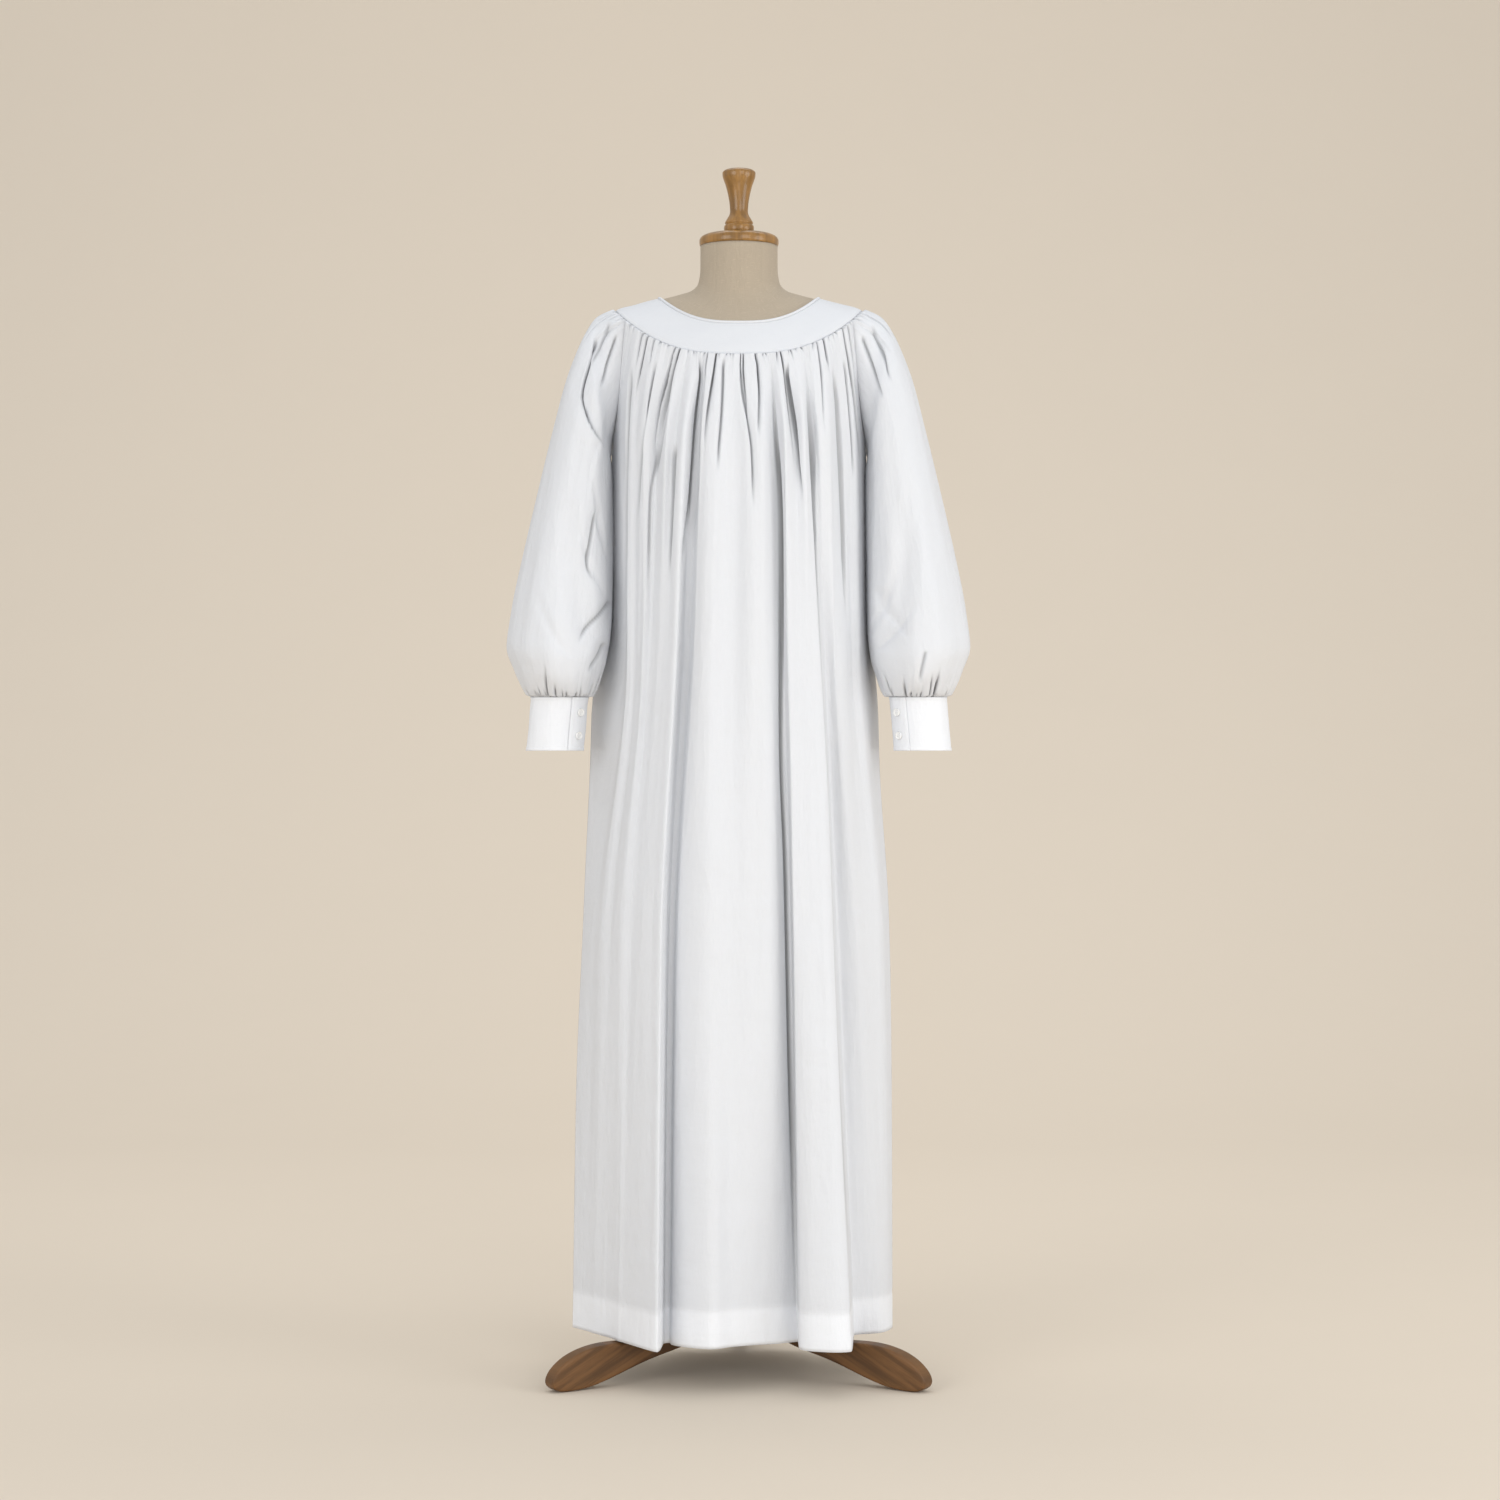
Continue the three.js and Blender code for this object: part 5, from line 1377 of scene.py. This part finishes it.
class ROCHET_OT_legs(bpy.types.Operator):
    """Shape the three legs of the stand"""

    bl_idname = "rochet.legs"
    bl_label = "Legs"

    def execute(self, context):
        pattern = self.one_leg()
        for node, degrees in (("leg_front_left", -60), ("leg_front_right", 60), ("leg_back", 180)):
            turn = Matrix.Rotation(math.radians(degrees - 90), 4, "Z")
            matrix = Matrix.Translation((AXIS_X, AXIS_Y, 0)) @ turn
            finish_piece(placed_copy(pattern, f"carved_{node}", matrix, "Stand wood"), node)
        bpy.data.objects.remove(pattern)
        return {"FINISHED"}

    def one_leg(self):
        """A leg along +X, drawn out from its joint at the hub to its foot, section by section."""
        sections = []
        for (x0, z0), (x1, z1) in zip(LEG_LOW, LEG_HIGH):
            middle = ((x0 + x1) / 2000, (z0 + z1) / 2000)
            sections.append((middle, math.dist((x0, z0), (x1, z1)) / 1000, math.atan2(x1 - x0, z1 - z0)))
        (x, z), tall, tilt = sections[0]
        bpy.ops.object.select_all(action="DESELECT")
        bpy.ops.mesh.primitive_plane_add(size=1, location=(x, 0, z), rotation=(0, math.pi / 2, 0))
        piece = bpy.context.object
        piece.scale = (tall, LEG_WIDTH / 1000, 1)
        bpy.ops.object.transform_apply(location=True, rotation=True, scale=True)
        edit_all()
        for (after_x, after_z), after_tall, after_tilt in sections[1:]:
            bpy.ops.mesh.extrude_region_move(TRANSFORM_OT_translate={"value": (after_x - x, 0, after_z - z)})
            size = after_tall / tall
            bpy.ops.transform.resize(value=(size, 1, size), center_override=(after_x, 0, after_z))
            bpy.ops.transform.rotate(value=tilt - after_tilt, orient_axis="Y", center_override=(after_x, 0, after_z))
            (x, z), tall, tilt = (after_x, after_z), after_tall, after_tilt
        close_up()
        bevel_edges(piece, "carved edges", 0.004, 3, 50)
        soft = piece.modifiers.new("smooth carving", "SUBSURF")
        soft.levels = soft.render_levels = 2
        apply_modifiers(piece)
        only(piece)
        bpy.ops.object.shade_smooth_by_angle(angle=math.radians(50))
        return piece


LENS, SENSOR = 77.14, 36  # in millimetres
CAMERA_ASIDE, CAMERA_AWAY, CAMERA_HEIGHT = 0.0154, 4.5, 0.87
# Each light's name, its place, the point that it faces, its width, and its share of the main light's power.
LIGHTS = [
    ("key light", (1.6, -4.6, 2.0), (0, 0, 0.8), 2.4, 0.42),
    ("fill light", (-2.8, -3.8, 1.5), (0, 0, 0.7), 2.6, 0.6),
    ("side light", (3.4, -2.0, 1.2), (0, 0, 0.8), 2.4, 0.52),
    ("low light", (0.0, -3.4, 0.35), (0, 0, 0.02), 1.6, 0.1),
    ("back light", (0.0, 1.2, 4.4), (0, 4.5, 1.8), 3.4, 0.8),
]


class ROCHET_OT_stage(bpy.types.Operator):
    """Build the floor, the lights and the camera"""

    bl_idname = "rochet.stage"
    bl_label = "Studio"

    def execute(self, context):
        self.backdrop()
        for name, place, target, size, share in LIGHTS:
            self.light(name, place, target, size, share * context.scene.rochet.light_power)
        self.surroundings(context)
        self.camera(context)
        return {"FINISHED"}

    def backdrop(self):
        """A floor that curves up into a wall behind the object."""
        bpy.ops.object.select_all(action="DESELECT")
        bpy.ops.mesh.primitive_plane_add(size=1, location=(0, 0, 0))
        floor = bpy.context.object
        floor.name = floor.data.name = "backdrop"
        floor.scale = (26, 14, 1)
        bpy.ops.object.transform_apply(location=True, scale=True)
        edit_where(floor, lambda corner: corner.co.y > 0, of="vertices")
        bpy.ops.mesh.select_mode(type="VERT")
        bpy.ops.mesh.extrude_region_move(TRANSFORM_OT_translate={"value": (0, 0.4, 9)})
        bpy.ops.object.mode_set(mode="OBJECT")
        for vertex in floor.data.vertices:
            vertex.select = vertex.co.y > 0 and vertex.co.z < 1
        bpy.ops.object.mode_set(mode="EDIT")
        bpy.ops.mesh.bevel(offset=4.5, segments=16, affect="EDGES")
        bpy.ops.object.mode_set(mode="OBJECT")
        bpy.ops.object.shade_smooth()
        floor.data.materials.append(material_of("Backdrop paper"))

    def light(self, name, place, target, size, power):
        """A soft round light that faces a point."""
        data = bpy.data.lights.new(name, "AREA")
        data.shape, data.size, data.energy = "DISK", size, power
        data.color = (1.0, 0.995, 0.985)
        lamp = bpy.data.objects.new(name, data)
        lamp.location = place
        lamp.rotation_euler = (Vector(target) - Vector(place)).to_track_quat("-Z", "Y").to_euler()
        bpy.context.scene.collection.objects.link(lamp)

    def surroundings(self, context):
        """Even pale light from all around."""
        world = bpy.data.worlds.new("studio")
        world.use_nodes = True
        world.node_tree.nodes["Background"].inputs["Color"].default_value = (0.96, 0.98, 1, 1)
        world.node_tree.nodes["Background"].inputs["Strength"].default_value = 0.78
        context.scene.world = world
        context.scene.view_settings.view_transform = "Standard"

    def camera(self, context):
        """A camera that looks level at the front."""
        data = bpy.data.cameras.new("camera")
        data.lens, data.sensor_width = LENS, SENSOR
        data.clip_end = 60
        camera = bpy.data.objects.new("camera", data)
        camera.location = (CAMERA_ASIDE + AXIS_X, -CAMERA_AWAY + AXIS_Y, CAMERA_HEIGHT)
        camera.rotation_euler = (math.pi / 2, 0, 0)
        context.scene.collection.objects.link(camera)
        context.scene.camera = camera


class ROCHET_PT_panel(bpy.types.Panel):
    """The rochet's sizes and colours, and its pieces in the order they are built"""

    bl_idname = "ROCHET_PT_panel"
    bl_label = "Rochet"
    bl_space_type = "VIEW_3D"
    bl_region_type = "UI"
    bl_category = "Rochet"

    def draw(self, context):
        props = context.scene.rochet
        for name in ROCHET_PG_settings.__annotations__:
            self.layout.prop(props, name)
        for piece in OPERATORS:
            self.layout.operator(piece.bl_idname)


OPERATORS = (
    ROCHET_OT_materials, ROCHET_OT_form, ROCHET_OT_turnings, ROCHET_OT_legs, ROCHET_OT_body, ROCHET_OT_yoke,
    ROCHET_OT_sleeves, ROCHET_OT_cuffs, ROCHET_OT_buttons, ROCHET_OT_stitching, ROCHET_OT_stage,
)
CLASSES = (ROCHET_PG_settings, *OPERATORS, ROCHET_PT_panel)


def register():
    for cls in CLASSES:
        bpy.utils.register_class(cls)
    bpy.types.Scene.rochet = bpy.props.PointerProperty(type=ROCHET_PG_settings)


def unregister():
    del bpy.types.Scene.rochet
    for cls in reversed(CLASSES):
        bpy.utils.unregister_class(cls)


def main():
    register()
    for piece in OPERATORS:
        getattr(bpy.ops.rochet, piece.bl_idname.split(".")[1])()


if __name__ == "__main__":
    main()
